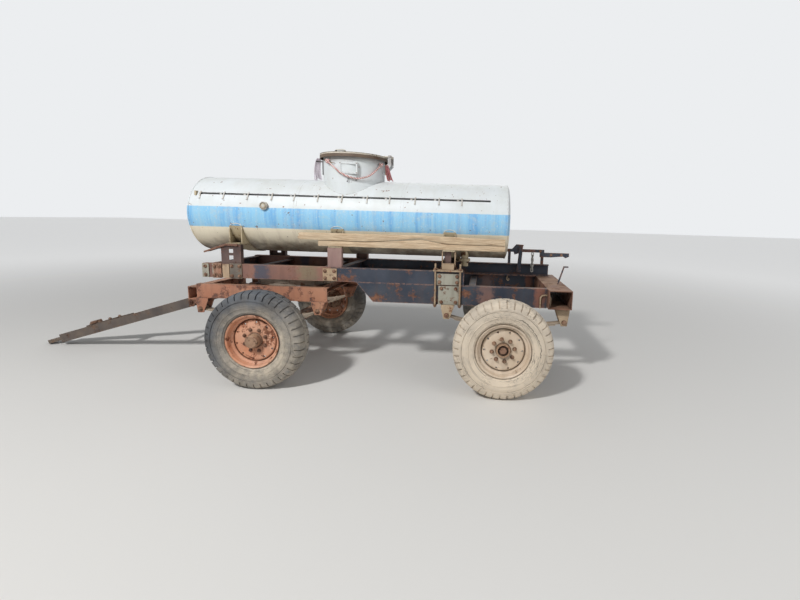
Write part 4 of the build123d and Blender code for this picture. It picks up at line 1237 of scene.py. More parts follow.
OTHER_FINISHES = (
    WornPaint(
        "slate_rail", (38, 46, 60), (60, 66, 76), (142, 96, 72), (74, 54, 48), 0.38, 5.5, 1.0, 0.25,
        edge_highlight=(186, 142, 122), edge_width=0.013,
        zones=(
            Zone("X", 1.96, 2.09, (150, 112, 98), 0.6, 0.03, 0.24),
            Zone("X", 2.5, 2.59, (160, 100, 74), 0.6, 0.02, 0.14),
        ),
    ),
    WornPaint(
        "upper_rail", (38, 46, 60), (58, 64, 76), (138, 92, 70), (70, 52, 48), 0.34, 6.0, 1.0, 0.25,
        edge_highlight=(190, 146, 126), edge_width=0.013,
        zones=(
            Zone("X", -1.2, 0.5, (150, 108, 92)),
            Zone("X", -0.26, -0.12, (62, 72, 88), 0.85, 0.03, 0.2),
            Zone("X", 0.18, 0.36, (122, 120, 92), 0.6, 0.06, 0.3),
        ),
    ),
    WornPaint(
        "orange_rust", (168, 112, 86), (186, 136, 108), (142, 90, 66), (58, 54, 60), 0.48, 9.0, 0.8, 0.35,
        edge_highlight=(204, 158, 132),
    ),
    WornPaint(
        "grey_green_plate", (150, 150, 136), (168, 164, 150), (138, 104, 80), (82, 62, 50),
        0.34, 14.0, 0.9, 0.3, edge_highlight=(178, 152, 122),
        zones=(
            Zone("X", -0.672, -0.581, (158, 98, 68)),
            Zone("X", -0.58, -0.508, (186, 152, 118)),
            Zone("X", -0.507, -0.36, (74, 58, 52)),
            Zone("X", 0.38, 0.58, (190, 158, 124)),
        ),
    ),
    WornPaint(
        "dark_drawbar", (72, 66, 64), (92, 82, 76), (118, 90, 74), (50, 42, 40), 0.42, 9.0, 0.9, 0.22,
        edge_highlight=(150, 122, 102),
    ),
    WornPaint(
        "rim_orange", (198, 132, 98), (214, 164, 136), (146, 86, 58), (92, 54, 40), 0.42, 15.0, 0.6, 0.4,
        hollow_shade=0.5,
    ),
    WornPaint(
        "rim_dusty", (222, 206, 186), (206, 186, 162), (150, 114, 90), (100, 76, 60), 0.2, 18.0, 0.6, 0.5,
        hollow_shade=0.42,
    ),
    WornPaint(
        "saddle_cream", (186, 170, 138), (200, 186, 158), (134, 92, 62), (80, 58, 44), 0.32, 11.0, 0.9, 0.25,
        edge_highlight=(216, 204, 178),
    ),
    WornPaint(
        "post_purple", (146, 116, 110), (162, 134, 124), (120, 80, 64), (74, 52, 46), 0.34, 10.0, 0.9, 0.3,
        edge_highlight=(172, 144, 132),
        # The dark stretches on the front and rear posts are painted shade
        zones=(Zone("X", -1.2, -0.2, (62, 48, 46), 0.95), Zone("X", 1.2, 2.4, (70, 54, 52), 0.9)),
    ),
    # The lid's dark brown skirt is painted shade under its pale top
    WornPaint(
        "lid_paint_and_shade", (86, 70, 58), (108, 90, 74), (96, 74, 58), (84, 66, 54), 0.3, 12.0, 0.4, 0.05,
        hollow_shade=0.3, zones=(Zone("Z", 2.166, 2.5, (226, 218, 202), 0.98, 0.0015, 0.008),),
    ),
    TankPaint("tank_paint"),
    # The neck's paint, with painted shade under the lid
    TankPaint("hatch_paint", banded=False, belly_shade_top=0.4, grime_and_shade_from=2.062),
    WeatheredWood("plank_wood"),
    TwistedFibre("red_white_rope", (198, 122, 122), (230, 216, 208)),
    TwistedFibre("grey_rag", (246, 242, 244), (226, 216, 226), 340.0, 0.12),
    TwistedFibre("pink_rag", (182, 96, 104), (206, 148, 146), 340.0),
)
# The rear left tyre is bleached and cracked; the front left one has its dust on one side
TYRE_LOOKS = {
    "front_left": {"lean": 0.9},
    "rear_left": {
        "rubber": (188, 176, 160), "side": (212, 198, 178), "dust_colour": (224, 208, 186),
        "dust": 0.5, "low_dust": 0.5, "cracks": 0.8, "long_crack": True,
    },
}


class Finishes:
    """Every finish of the trailer, built once."""

    def __init__(self, wheels: dict[str, Point]) -> None:
        """Builds the shared effects and the materials.

        Args:
            wheels: Each wheel's name and centre.
        """
        groups = {effect: effect_group(effect) for effect in Effect}
        finishes = [WornPaint(*row) for row in PLAIN_PAINTS] + list(OTHER_FINISHES)
        for wheel, centre in wheels.items():
            finishes.append(TyreRubber(f"rubber_{wheel}", centre, **TYRE_LOOKS.get(wheel, {})))
        self.table = {finish.name: finish.build(groups) for finish in finishes}

    def dress(self, piece: Piece, name: str) -> None:
        """Gives a piece one finish."""
        piece.data.materials.clear()
        piece.data.materials.append(self.table[name])


# Sub-assemblies


def middle_x(node: str) -> float:
    """Where the middle of a node of the frame is along the trailer."""
    low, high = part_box(node)
    return (low.x + high.x) / 2


@dataclass
class Assembly:
    """A sub-assembly: the body that it rides on and how its pieces are handed over."""

    finishes: Finishes
    body: str = "chassis"

    def hand_over(
        self,
        piece: Piece,
        finish: str,
        slot: str,
        replaces: Sequence[str] = (),
        body: Optional[str] = None,
    ) -> None:
        """Dresses a finished piece and sets it on its body.

        Args:
            piece: The new piece.
            finish: Its finish.
            slot: The record's material slot that it belongs to; not used.
            replaces: The nodes that it stands for.
            body: The body it rides on, if not the assembly's own.
        """
        settle(piece)
        self.finishes.dress(piece, finish)
        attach(piece, body or self.body)
        if replaces:
            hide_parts(*replaces)
        log.info("piece %s on %s: %d faces", piece.name, body or self.body, len(piece.data.polygons))

    def fasten(
        self,
        name: str,
        size: Point,
        places: Iterable[Spot],
        seed: Optional[int],
        finish: str = "hub_rust",
        slot: str = "rust",
        body: Optional[str] = None,
    ) -> None:
        """Sets nuts of a size across, height and washer's share on many seats, as one piece."""
        jitter = random.Random(seed) if seed else None
        self.hand_over(place_copies(bolt("nut", *size), name, places, jitter), finish, slot, (), body)

    def dress_nodes(self, finish: str, *nodes: str) -> None:
        """Gives nodes of the frame a finish and smooth shading."""
        for node in nodes:
            self.finishes.dress(shade(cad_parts[node], 30), finish)


@dataclass
class Tank(Assembly):
    """The barrel with dished heads, the outer sheets, their clips and the small things on them."""

    facets: int = 160
    sheet: float = 0.01
    slot_low: float = radians(29.9)
    slot_high: float = radians(33.1)
    slot_start: float = 0.095
    slot_end: float = 0.175
    head_rings: int = 9
    clip_count: int = 12
    clip_width: float = 0.018
    # Each saddle's distance behind the front axle
    hoop_stations: tuple[float, ...] = (-0.47, 0.55, 1.665)
    hoop_half: float = 0.064
    # The folded ends and the lapped joints: start as a share of the length, offset, width, rise
    bands: tuple[tuple[float, float, float, float], ...] = (
        (0.0, 0.0, 0.014, 0.0035), (1.0, -0.014, 0.014, 0.0035), (0.335, 0.0, 0.03, 0.0012),
        (0.668, 0.0, 0.03, 0.0012),
    )
    plug_station: float = 0.777
    plug_profile: tuple[Pair, ...] = (
        (-0.004, 0.03), (0.0, 0.0395), (0.004, 0.0405), (0.012, 0.04), (0.0145, 0.0375), (0.0145, 0.0325),
        (0.007, 0.03), (0.007, 0.018), (0.015, 0.015), (0.0155, 0.0002),
    )

    def build(self) -> None:
        """Builds and dresses the whole tank."""
        low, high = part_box("tank_skin")
        self.front, self.rear = low.x, high.x
        self.radius = (high.y - low.y) / 2
        self.axis_height = (high.z + low.z) / 2
        self.barrel()
        self.outer_sheets()
        self.slot_painted_shade()
        self.clips()
        self.end_bands()
        self.saddle_hoops()
        self.fittings()
        self.dress_nodes("saddle_cream", "tank_fittings")

    def turned(self, name: str, profile: Sequence[Pair], steps: int, closed: bool = False) -> Piece:
        """Spins a profile about the tank's axis, from its front end backwards."""
        return spun(name, profile, (self.front, 0, self.axis_height), steps, 1, "X", closed)

    def on_side(self, x: float, side: int, turn: float, rise: float) -> Vector:
        """A point over the tank's side, at an angle above its axis."""
        reach = self.radius + rise
        return Vector((x, side * cos(turn) * reach, self.axis_height + sin(turn) * reach))

    def in_slot(self, centre: Vector, normal: Vector) -> bool:
        """Whether a face of the skin lies where a slot is open.

        Args:
            centre: The face's centre.
            normal: The face's normal; not used.

        Returns:
            Whether it does.
        """
        angle = atan2(centre.z - self.axis_height, abs(centre.y))
        along = self.front + self.slot_start < centre.x < self.rear - self.slot_end
        return along and self.slot_low < angle < self.slot_high

    def barrel(self) -> None:
        """The barrel and its two heads, spun from one profile."""
        dish = self.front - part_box("tank_shell")[0].x
        inner = self.radius - self.sheet - 0.0005
        length = self.rear - self.front
        angles = [radians(90 * ring / self.head_rings) for ring in range(self.head_rings + 1)]
        head = [(cos(angle), sin(angle)) for angle in angles]
        rear_head = [(length + dish * c, inner * (0.02 + 0.98 * s)) for c, s in head]
        front_head = [(-dish * c, inner * (0.02 + 0.98 * s)) for c, s in reversed(head)]
        profile = [(length + dish, 0.0002), *rear_head, *front_head, (-dish, 0.0002)]
        piece = shade(self.turned("tank_barrel", profile, self.facets), 60)
        self.hand_over(piece, "tank_paint", "tank_paint", ["tank_shell"])

    def outer_sheets(self) -> None:
        """The wrapped skin with a long slot cut on each side, thickened."""
        clear_selection()
        bpy.ops.mesh.primitive_cylinder_add(
            vertices=self.facets,
            radius=self.radius - self.sheet / 2,
            depth=self.rear - self.front,
            end_fill_type="NOTHING",
            location=((self.front + self.rear) / 2, 0, self.axis_height),
            rotation=(0, pi / 2, 0),
        )
        piece = settle(bpy.context.active_object)
        piece.name = "tank_sheets"
        start_edit(piece, "VERT")
        cuts = [((x, 0, 0), (1, 0, 0)) for x in (self.front + self.slot_start, self.rear - self.slot_end)]
        for turn in (self.slot_low, self.slot_high, pi - self.slot_low, pi - self.slot_high):
            cuts.append(((0, 0, self.axis_height), (0, -sin(turn), cos(turn))))
        for point, normal in cuts:
            select_all()
            bpy.ops.mesh.bisect(plane_co=point, plane_no=normal)
        end_edit()
        cut_faces(piece, self.in_slot)
        apply_modifier(piece, "SOLIDIFY", thickness=self.sheet, offset=0.0)
        shade(piece, 30)
        self.hand_over(piece, "tank_paint", "tank_paint", ["tank_skin"])

    def slot_painted_shade(self) -> None:
        """A thin black sheet in the long slots: painted shade for the dark inside them."""
        reach = self.radius - self.sheet
        start = self.slot_start - 0.02
        end = self.rear - self.front - self.slot_end + 0.02
        low, high = reach - 0.0002, reach + 0.002
        piece = self.turned("slot_shade_lining", [(start, low), (start, high), (end, high), (end, low)], 640, True)
        margin = radians(0.9)

        def outside(centre: Vector, normal: Vector) -> bool:
            """Whether a face lies clear of both slots."""
            angle = atan2(centre.z - self.axis_height, abs(centre.y))
            return not self.slot_low - margin < angle < self.slot_high + margin

        cut_faces(piece, outside)
        self.hand_over(piece, "slot_shade_black", "tank_paint")

    def clips(self) -> None:
        """The strap clips over the slots' lower edges, each with a bolt head beside it in the slot."""
        low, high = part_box("skin_clips")
        pitch = (high.x - low.x - self.clip_width) / (self.clip_count - 1)
        chance = random.Random(31)
        straps, places = [], []
        head = button("clip_head", [(0, 0.0115), (0.004, 0.011), (0.0075, 0.0075), (0.009, 0.0002)], 16)
        # The strap's way down the side: angle above the axis, rise over the skin
        way = [(self.slot_high + 0.03, 0.0016), (self.slot_high, 0.0055), (self.slot_low, 0.0065)]
        for drop, rise in ((0.055, 0.003), (0.115, 0.0024), (0.135, 0.0075)):
            way.append((self.slot_low - drop, rise))
        back = Vector((0.0065, 0, 0))
        for side in SIDES:
            for number in range(self.clip_count):
                x = low.x + self.clip_width / 2 + number * pitch + chance.uniform(-0.012, 0.012)
                line = [self.on_side(x, side, turn, rise) for turn, rise in way]
                out = self.on_side(x, side, self.slot_low, 1.0) - self.on_side(x, side, self.slot_low, 0.0)
                corners = [point + out * 0.0024 - back for point in line]
                corners += [point - out * 0.0006 - back for point in reversed(line)]
                straps.append(plate("clip", corners, (0.013, 0, 0), 0.0006))
                middle = (self.slot_low + self.slot_high) / 2
                places.append((self.on_side(x - 0.04, side, middle, -self.sheet + 0.002), out))
        self.hand_over(join(straps, "strap_clips"), "clip_white", "tank_paint", ["skin_clips"])
        self.hand_over(place_copies(head, "slot_bolt_heads", places), "clip_white", "tank_paint")

    def end_bands(self) -> None:
        """The folded edge at each end of the outer sheets, and the lapped joints between them."""
        pieces = []
        length = self.rear - self.front
        low = self.radius - 0.004
        for share, offset, width, rise in self.bands:
            start = length * share + offset
            outer = self.radius + rise
            rounded = [(start, outer - 0.0008), (start + 0.0012, outer)]
            rounded += [(start + width - 0.0012, outer), (start + width, outer - 0.0008)]
            profile = [(start, low), *rounded, (start + width, low)]
            pieces.append(self.turned("band", profile, self.facets, True))
        piece = join(pieces, "tank_edge_bands")
        cut_faces(piece, self.in_slot)
        self.hand_over(piece, "tank_paint", "tank_paint")

    def saddle_hoops(self) -> None:
        """The thin white hoops that lie on the barrel's side over each saddle."""
        axle = middle_x("front_axle")
        hoops = []
        for side in SIDES:
            for station in self.hoop_stations:
                line = []
                for step in range(13):
                    share = -1 + step / 6
                    above = -0.124 + 0.036 * sqrt(max(1 - share**2, 0.0))
                    turn = asin(above / self.radius)
                    line.append(self.on_side(axle + station + self.hoop_half * share, side, turn, 0.0022))
                hoops.append(bent_rod("saddle_hoop", line, 0.003))
        self.hand_over(join(hoops, "saddle_hoops"), "chalk_white", "tank_paint")

    def fittings(self) -> None:
        """The bolts round the outlet's flange and the ribbed cap of the level plug."""
        low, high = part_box("tank_fittings")
        outlet = Vector((high.x - 0.058, -0.2, low.z + 0.05))
        turns = [radians(45 + 90 * step) for step in range(4)]
        places = [
            (outlet + Vector((0.048 * cos(turn), 0.048 * sin(turn), 0)), (0, 0, -1))
            for turn in turns
        ]
        self.fasten("outlet_flange_bolts", (0.018, 0.01, 1.5), places, None, "brown_rust")
        plug_x, plug_z = self.front + self.plug_station, self.axis_height + 0.091
        cap = spun("plug_cap", self.plug_profile, (plug_x, low.y + 0.012, plug_z), 36)
        y = low.y + 0.004
        ribs = [
            rod("plug_rib", (plug_x - x, y, plug_z - z), (plug_x + x, y, plug_z + z), 0.0035, 10)
            for x, z in ((0.028, 0.01), (-0.01, 0.028))
        ]
        self.hand_over(join([cap, *ribs], "plug_cap"), "clip_white", "tank_paint")


@dataclass
class Hatch(Assembly):
    """The filling hatch: neck, lid, handle and what is tied round it."""

    neck_radius: float = 0.31
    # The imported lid's radius, which its box starts at, and the one that is drawn
    packed_radius: float = 0.361
    lid_radius: float = 0.344
    skirt: float = 0.042
    # The lid's dome, as radius and height over the neck's rim
    dome: tuple[Pair, ...] = (
        (0.0002, 0.0238), (0.1, 0.0234), (0.18, 0.0215), (0.26, 0.018), (0.31, 0.014), (0.344, 0.0105),
    )
    handle_x: float = -0.13
    handle_y: float = -0.06
    rope_radius: float = 0.009
    rope_reach: float = 0.332
    # The rope's way: turn round the neck from +X in degrees, drop under the neck's top
    rope_route: tuple[Pair, ...] = (
        (240, 0.084), (252, 0.138), (264, 0.191), (276, 0.224), (289, 0.243), (302, 0.232), (314, 0.205),
        (326, 0.152), (337, 0.092),
    )
    # Each rag with its tie and its foot: turn, reach past the lid, drop under the neck's top
    hung_rags: tuple[tuple[Rag, Point, Point], ...] = (
        (
            Rag("pale_rag", "grey_rag", 0.225, (0.03, 0.085), 4.0, 0.015, 5),
            (186, 0.022, 0.018),
            (183, 0.05, 0.236),
        ),
        (
            Rag("red_rag", "pink_rag", 0.165, (0.022, 0.06), 3.0, 0.012, 9),
            (347, 0.028, 0.08),
            (350, 0.062, 0.232),
        ),
    )
    # A hook's way from its root: outwards, along the trailer, up
    hook_way: tuple[Point, ...] = (
        (0.0, 0.0, 0.0), (0.01, 0, -0.004), (0.012, 0.002, -0.026), (0.004, -0.006, -0.038),
        (0.003, -0.014, -0.03),
    )

    def build(self) -> None:
        """Builds and dresses the hatch."""
        low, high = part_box("hatch_lid")
        self.centre_x = low.x + self.packed_radius
        self.skirt_foot = low.z
        self.rest = low.z + self.skirt - 0.006
        self.neck_top = self.rest - 0.0003
        self.rope_and_knots()
        self.rags()
        self.dress_nodes("hatch_paint", "hatch_neck")
        self.lid(high.x)
        self.handle()
        self.frame_screws()
        self.front_stay()
        self.wires()
        self.hooks()
        self.ear_strap()

    def around(self, degrees: float, reach: float, height: float) -> Vector:
        """A point round the neck's middle line."""
        turn = radians(degrees)
        return Vector((self.centre_x + reach * cos(turn), reach * sin(turn), height))

    def on_neck(self, degrees: float, out: float, rise: float) -> Vector:
        """A point by its distance out from the neck's side and its height from the neck's top."""
        return self.around(degrees, self.neck_radius + out, self.neck_top + rise)

    def lid(self, hinge_end: float) -> None:
        """The lid with its rolled skirt and its hinge leaf.

        Args:
            hinge_end: How far the hinge knuckle reaches along the trailer.
        """
        reach, rest, foot = self.lid_radius, self.rest, self.skirt_foot
        profile = [(rest + rise, radius) for radius, rise in self.dome]
        profile += [(rest + 0.0075, reach - 0.006), (rest + 0.003, reach - 0.0008), (rest - 0.004, reach)]
        profile += [(foot + 0.007, reach), (foot + 0.002, reach + 0.001), (foot, reach - 0.001)]
        profile += [(foot + 0.0015, reach - 0.0055), (foot + 0.008, reach - 0.0055)]
        profile += [(rest - 0.001, reach - 0.006), (rest, reach - 0.01), (rest, 0.0002)]
        shell = spun("lid_shell", profile, (self.centre_x, 0, 0), 120, 1, "Z")
        pin = Vector((hinge_end - 0.015, 0, rest + 0.0157))
        root = self.centre_x + reach - 0.07
        line = [(root, rest + 0.0125), (pin.x - 0.01, pin.z - 0.008)]
        line += [(pin.x - 0.01, pin.z + 0.006), (root, rest + 0.0205)]
        leaf = slab("hinge_leaf", line, -0.043, 0.086)
        ring = [(-0.043, 0.0096), (-0.043, 0.015), (0.043, 0.015), (0.043, 0.0096)]
        knuckle = spun("knuckle", ring, pin, 24, closed=True)
        lid = join([shell, leaf, knuckle], "lid_with_hinge_leaf")
        self.hand_over(lid, "lid_paint_and_shade", "tank_paint", ["hatch_lid"], "hatch")

    def handle(self) -> None:
        """The lid's handle, on two feet with their sleeves."""
        x, y, top = self.centre_x + self.handle_x, self.handle_y, self.rest + 0.0235
        start, end = x - 0.048, x + 0.048
        line = [(start, top - 0.004), (start, top + 0.038), (start + 0.006, top + 0.047)]
        line += [(end - 0.006, top + 0.047), (end, top + 0.038), (end, top - 0.004)]
        bar = bent_rod("lid_handle", [(along, y, height) for along, height in line], 0.0085)
        self.hand_over(bar, "clip_white", "tank_paint", (), "hatch")
        feet = [
            block("pad", (foot - 0.018, y - 0.022, top - 0.002), (foot + 0.018, y + 0.022, top + 0.005))
            for foot in (start, end)
        ]
        feet += [rod("sleeve", (foot, y, top), (foot, y, top + 0.04), 0.011) for foot in (start, end)]
        self.hand_over(join(feet, "handle_feet"), "black_iron", "tank_paint", (), "hatch")

    def frame_screws(self) -> None:
        """The screws in the corners of the raised frame on the near side."""
        low_x, high_x = self.centre_x - 0.049, self.centre_x + 0.131
        low_z = self.neck_top - 0.196
        places = [
            ((x, -self.neck_radius - 0.0058, z), (0, -1, 0))
            for x in (low_x + 0.009, high_x - 0.009)
            for z in (low_z + 0.009, low_z + 0.101)
        ]
        head = button("screw", [(0, 0.005), (0.0016, 0.0046), (0.0028, 0.0025), (0.003, 0.0002)], 12)
        self.hand_over(place_copies(head, "frame_screws", places), "brown_rust", "rust")

    def rope_and_knots(self) -> None:
        """The red and white rope that hangs round the near side, and the knots at its ends."""
        route = [self.around(turn, self.rope_reach, self.neck_top - drop) for turn, drop in self.rope_route]
        path = line_points(route)
        rope = laid_rope("hatch_rope_laid", path, self.rope_radius, strands=3, turns=15)
        for number, (end, before) in enumerate(((route[0], route[1]), (route[-1], route[-2]))):
            out = (end - before).normalized()
            lump = knot(f"rope_knot_{number}", end + out * 0.016, 0.017, 0.0085)
            self.hand_over(lump, "red_white_rope", "cloth", ["hatch_ties"] if number == 0 else ())
        self.hand_over(rope, "red_white_rope", "cloth", ["hatch_rope"])

    def rags(self) -> None:
        """The cloth strips tied beside the neck, each hung and thickened."""
        for cloth, tie, foot in self.hung_rags:
            top, bottom = (
                self.around(turn, self.lid_radius + reach, self.neck_top - drop)
                for turn, reach, drop in (tie, foot)
            )
            piece = cloth.hang(top, bottom)
            apply_modifier(piece, "SOLIDIFY", thickness=0.0022, offset=0.0)
            self.hand_over(piece, cloth.finish, "cloth")

    def front_stay(self) -> None:
        """The stay on the neck's front, with the bar that the rag is tied to."""
        top = self.neck_top
        x = self.centre_x - sqrt(self.neck_radius**2 - 0.06**2)
        stay = block("neck_stay", (x - 0.013, -0.075, top - 0.19), (x - 0.0005, -0.045, top - 0.05))
        tie = rod("rag_tie_bar", (x - 0.006, -0.06, top - 0.056), (x - 0.086, -0.045, top - 0.05), 0.006)
        self.hand_over(join([stay, tie], "neck_stay"), "black_iron", "rust")

    def wires(self) -> None:
        """The brass tie wires at the rope's front end."""
        chance = random.Random(11)
        wires = []
        for number in range(4):
            turn = 218 + 5 * number
            start = self.on_neck(turn, 0.004, -0.048 - 0.008 * number)
            middle = self.on_neck(turn + 10, 0.03 + chance.uniform(0, 0.008), -0.062 - 0.01 * number)
            end = self.on_neck(turn + 19, 0.01, -0.085 - chance.uniform(0, 0.02))
            wires.append(bent_rod("wire", [start, middle, end], 0.0022))
        self.hand_over(join(wires, "tie_wires"), "brass_wire", "rust")

    def hooks(self) -> None:
        """The two hooks under the rope's belly."""
        hooks = []
        for turn, height in ((277, -0.236), (292, -0.222)):
            root = self.on_neck(turn, 0.004, height)
            outward = self.around(turn, 1.0, 0.0) - self.around(turn, 0.0, 0.0)
            line = [root + outward * out + Vector((along, 0, up)) for out, along, up in self.hook_way]
            hooks.append(bent_rod("hook", line, 0.0032))
        self.hand_over(join(hooks, "neck_hooks"), "black_iron", "rust")

    def ear_strap(self) -> None:
        """The pale strap beside the hinge ear."""
        x, top = self.centre_x + 0.345, self.neck_top
        strap = block("ear_strap", (x - 0.006, -0.0665, top - 0.175), (x + 0.02, -0.0603, top - 0.07))
        self.hand_over(strap, "cream_bracket", "cream_paint")


# Profiles of the wheels: distance outwards from the wheel's middle plane, radius

RIM_HALF = (
    (0.0, 0.198), (0.038, 0.199), (0.045, 0.211), (0.0485, 0.2215), (0.056, 0.2245), (0.077, 0.2265),
    (0.0778, 0.23), (0.082, 0.2385), (0.09, 0.2408), (0.097, 0.24), (0.0984, 0.2378), (0.0974, 0.2338),
    (0.094, 0.229), (0.09, 0.2245), (0.082, 0.2222), (0.06, 0.2198), (0.054, 0.2165), (0.05, 0.2075),
    (0.043, 0.197), (0.03, 0.1945), (0.0, 0.194),
)
RIM_DISC = (
    (0.018, 0.1962), (0.02, 0.1925), (0.029, 0.1895), (0.038, 0.1862), (0.043, 0.181), (0.0452, 0.173),
    (0.046, 0.162), (0.046, 0.12), (0.0461, 0.09), (0.044, 0.07), (0.04, 0.0655), (0.0353, 0.0655),
    (0.0356, 0.09), (0.0356, 0.12), (0.0358, 0.16), (0.0345, 0.17), (0.031, 0.1765), (0.025, 0.18),
    (0.015, 0.1835), (0.008, 0.1875), (0.006, 0.1962),
)
HUB_BODY = (
    (-0.125, 0.036), (-0.125, 0.0585), (-0.1235, 0.06), (0.0185, 0.06), (0.0191, 0.118), (0.0345, 0.118),
    (0.0351, 0.0648),
)
HUB_CAP = (
    (0.047, 0.0645), (0.05, 0.0618), (0.056, 0.0605), (0.097, 0.056), (0.099, 0.0575), (0.106, 0.057),
    (0.1085, 0.0535), (0.114, 0.0495), (0.1172, 0.047), (0.1165, 0.0445), (0.1158, 0.02), (0.117, 0.016),
    (0.117, 0.0002),
)
HUB_OPEN_END = (
    (0.056, 0.0645), (0.058, 0.0622), (0.07, 0.0618), (0.0714, 0.06), (0.0712, 0.049), (0.0695, 0.0468),
    (0.05, 0.0462), (0.04, 0.0455), (0.038, 0.036),
)
TYRE_BEAD = (
    (0.056, 0.2275), (0.066, 0.228), (0.0755, 0.229), (0.0768, 0.24), (0.08, 0.2465), (0.092, 0.25),
    (0.1, 0.262), (0.103, 0.2645), (0.1035, 0.2685), (0.1105, 0.29), (0.114, 0.301), (0.1165, 0.303),
    (0.1175, 0.306), (0.116, 0.309),
)
# The tyre's widest part, as distance inwards from its full width
TYRE_BULGE = (
    (0.0015, 0.315), (0.0, 0.322), (0.001, 0.34), (0.005, 0.3565), (0.0085, 0.359), (0.0085, 0.362),
    (0.004, 0.365), (0.0085, 0.384), (0.014, 0.402),
)
TYRE_SHOULDER = (
    (0.099, 0.416), (0.09, 0.4265), (0.076, 0.4345), (0.05, 0.441), (0.025, 0.4438), (0.02, 0.438),
    (0.014, 0.438),
)


@dataclass
class Wheels(Assembly):
    """Four wheels: one tyre and one rim are modelled, and copied to each place."""

    centres: dict[str, Point] = field(default_factory=dict)
    tyre_steps: int = 240
    lugs: int = 40
    groove_depth: float = 0.011
    groove_foot: float = 0.392
    centre_rib: float = 0.022
    rim_steps: int = 96
    hole_ring: float = 0.167
    hub_steps: int = 64
    # Where the torn edge of the open hub starts
    torn_from: float = 0.068
    # How far each wheel has rolled, in degrees
    spins: dict[str, float] = field(
        default_factory=lambda: {
            "front_left": 0.0, "front_right": 47.0, "rear_left": 12.0, "rear_right": 118.0
        }
    )

    def build(self) -> None:
        """Builds and dresses all the wheels; the rear left one is dusty and has lost its cap."""
        tyre, rim = self.model_tyre(), self.model_rim()
        hubs = {worn: self.model_hub(worn) for worn in (False, True)}
        nuts = {worn: self.model_nuts(worn) for worn in (False, True)}
        for name, centre in self.centres.items():
            worn = name == "rear_left"
            turn = Matrix.Rotation(0 if centre[1] < 0 else pi, 4, "Z")
            spin = Matrix.Rotation(radians(self.spins[name]), 4, "Y")
            place = Matrix.Translation(centre) @ turn @ spin
            for model, label, finish, slot, nodes in (
                (tyre, "tyre", f"rubber_{name}", "pale_tyre" if worn else "tyre", [f"tyre_{name}"]),
                (rim, "rim", "rim_dusty" if worn else "rim_orange", "rim_rust", [f"rim_{name}"]),
                (hubs[worn], "hub", "hub_dusty" if worn else "hub_rust", "rust", [f"hub_{name}"]),
                (nuts[worn], "nuts", "hub_rust" if worn else "brown_rust", "rust", []),
            ):
                twin = copy_at(model, place)
                twin.name = f"{label}_{name}_full"
                self.hand_over(twin, finish, slot, nodes, f"wheel_{name}")
        for model in (tyre, rim, *hubs.values(), *nuts.values()):
            remove(model)

    def model_rim(self) -> Piece:
        """The rim about the origin: a well with two flared flanges, and a domed disc with its holes.

        Returns:
            The rim.
        """
        profile = [*RIM_HALF, *((-out, radius) for out, radius in reversed(RIM_HALF[1:-1]))]
        barrel = spun("rim_barrel", profile, ORIGIN, self.rim_steps, closed=True)
        disc = spun("rim_disc", RIM_DISC, ORIGIN, self.rim_steps, closed=True)
        through = Vector((0, 0.05, 0))
        holes = wheel_ring(-0.036, self.hole_ring, 10, 0.2)
        cutters = [rod("cutter", Vector(at) + through, Vector(at) - through, 0.0085, 16) for at, _ in holes]
        cutter = join(cutters, "rim_cutter")
        apply_modifier(disc, "BOOLEAN", operation="DIFFERENCE", object=cutter, solver="EXACT")
        remove(cutter)
        stem = [(0.148, -0.05, -0.148), (0.149, -0.08, -0.149), (0.152, -0.094, -0.152)]
        return shade(join([barrel, disc, bent_rod("valve", stem, 0.0045)], "rim_model"), 30)

    def model_hub(self, worn: bool) -> Piece:
        """A hub about the origin, with its cap, or open with a torn edge where the cap is lost.

        Args:
            worn: Whether the cap is lost.

        Returns:
            The hub.
        """
        if not worn:
            return spun("hub_capped", HUB_BODY + HUB_CAP, ORIGIN, 48)
        piece = spun("hub_open", HUB_BODY + HUB_OPEN_END, ORIGIN, self.hub_steps, closed=True)
        chance = random.Random(21)
        teeth = [chance.uniform(-1, 1) for _ in range(self.hub_steps)]
        for vertex in piece.data.vertices:
            if vertex.co.y < -self.torn_from:
                share = atan2(vertex.co.z, vertex.co.x) / tau
                step = int(round(share * self.hub_steps)) % self.hub_steps
                vertex.co.y += 0.0022 * (teeth[step] + teeth[(step * 3) % self.hub_steps])
        return piece

    def model_nuts(self, worn: bool) -> Piece:
        """The wheel nuts round the hub: plain ones, or cone nuts where the cap is lost."""
        model = self.cone_nut() if worn else bolt("wheel_nut", 0.027, 0.014, 1.25)
        return place_copies(model, "wheel_nuts", wheel_ring(-0.046, 0.1, 8, 0.36), random.Random(12))

    @staticmethod
    def cone_nut() -> Piece:
        """A wheel nut with a conical seat and the stud's end, facing +Z.

        Returns:
            The nut.
        """
        seat = button("nut_seat", [(0, 0.0185), (0.003, 0.019), (0.008, 0.015)], 20)
        nut = bolt("nut_head", 0.029, 0.016, 1.1)
        nut.location = (0, 0, 0.004)
        return join([settle(nut), seat], "cone_nut")

    def in_groove(self, centre: Vector, normal: Vector) -> bool:
        """Whether a face of the tyre lies in one of the cross grooves, which alternate side to side.

        Args:
            centre: The face's centre.
            normal: The face's normal; not used.

        Returns:
            Whether it does.
        """
        if hypot(centre.x, centre.z) < self.groove_foot or abs(centre.y) < self.centre_rib:
            return False
        share = atan2(centre.z, centre.x) / tau
        step = int(round((share * self.tyre_steps) - 0.5)) % self.tyre_steps
        per_lug = self.tyre_steps // self.lugs
        return (step + (per_lug // 2 if centre.y > 0 else 0)) % per_lug == 0

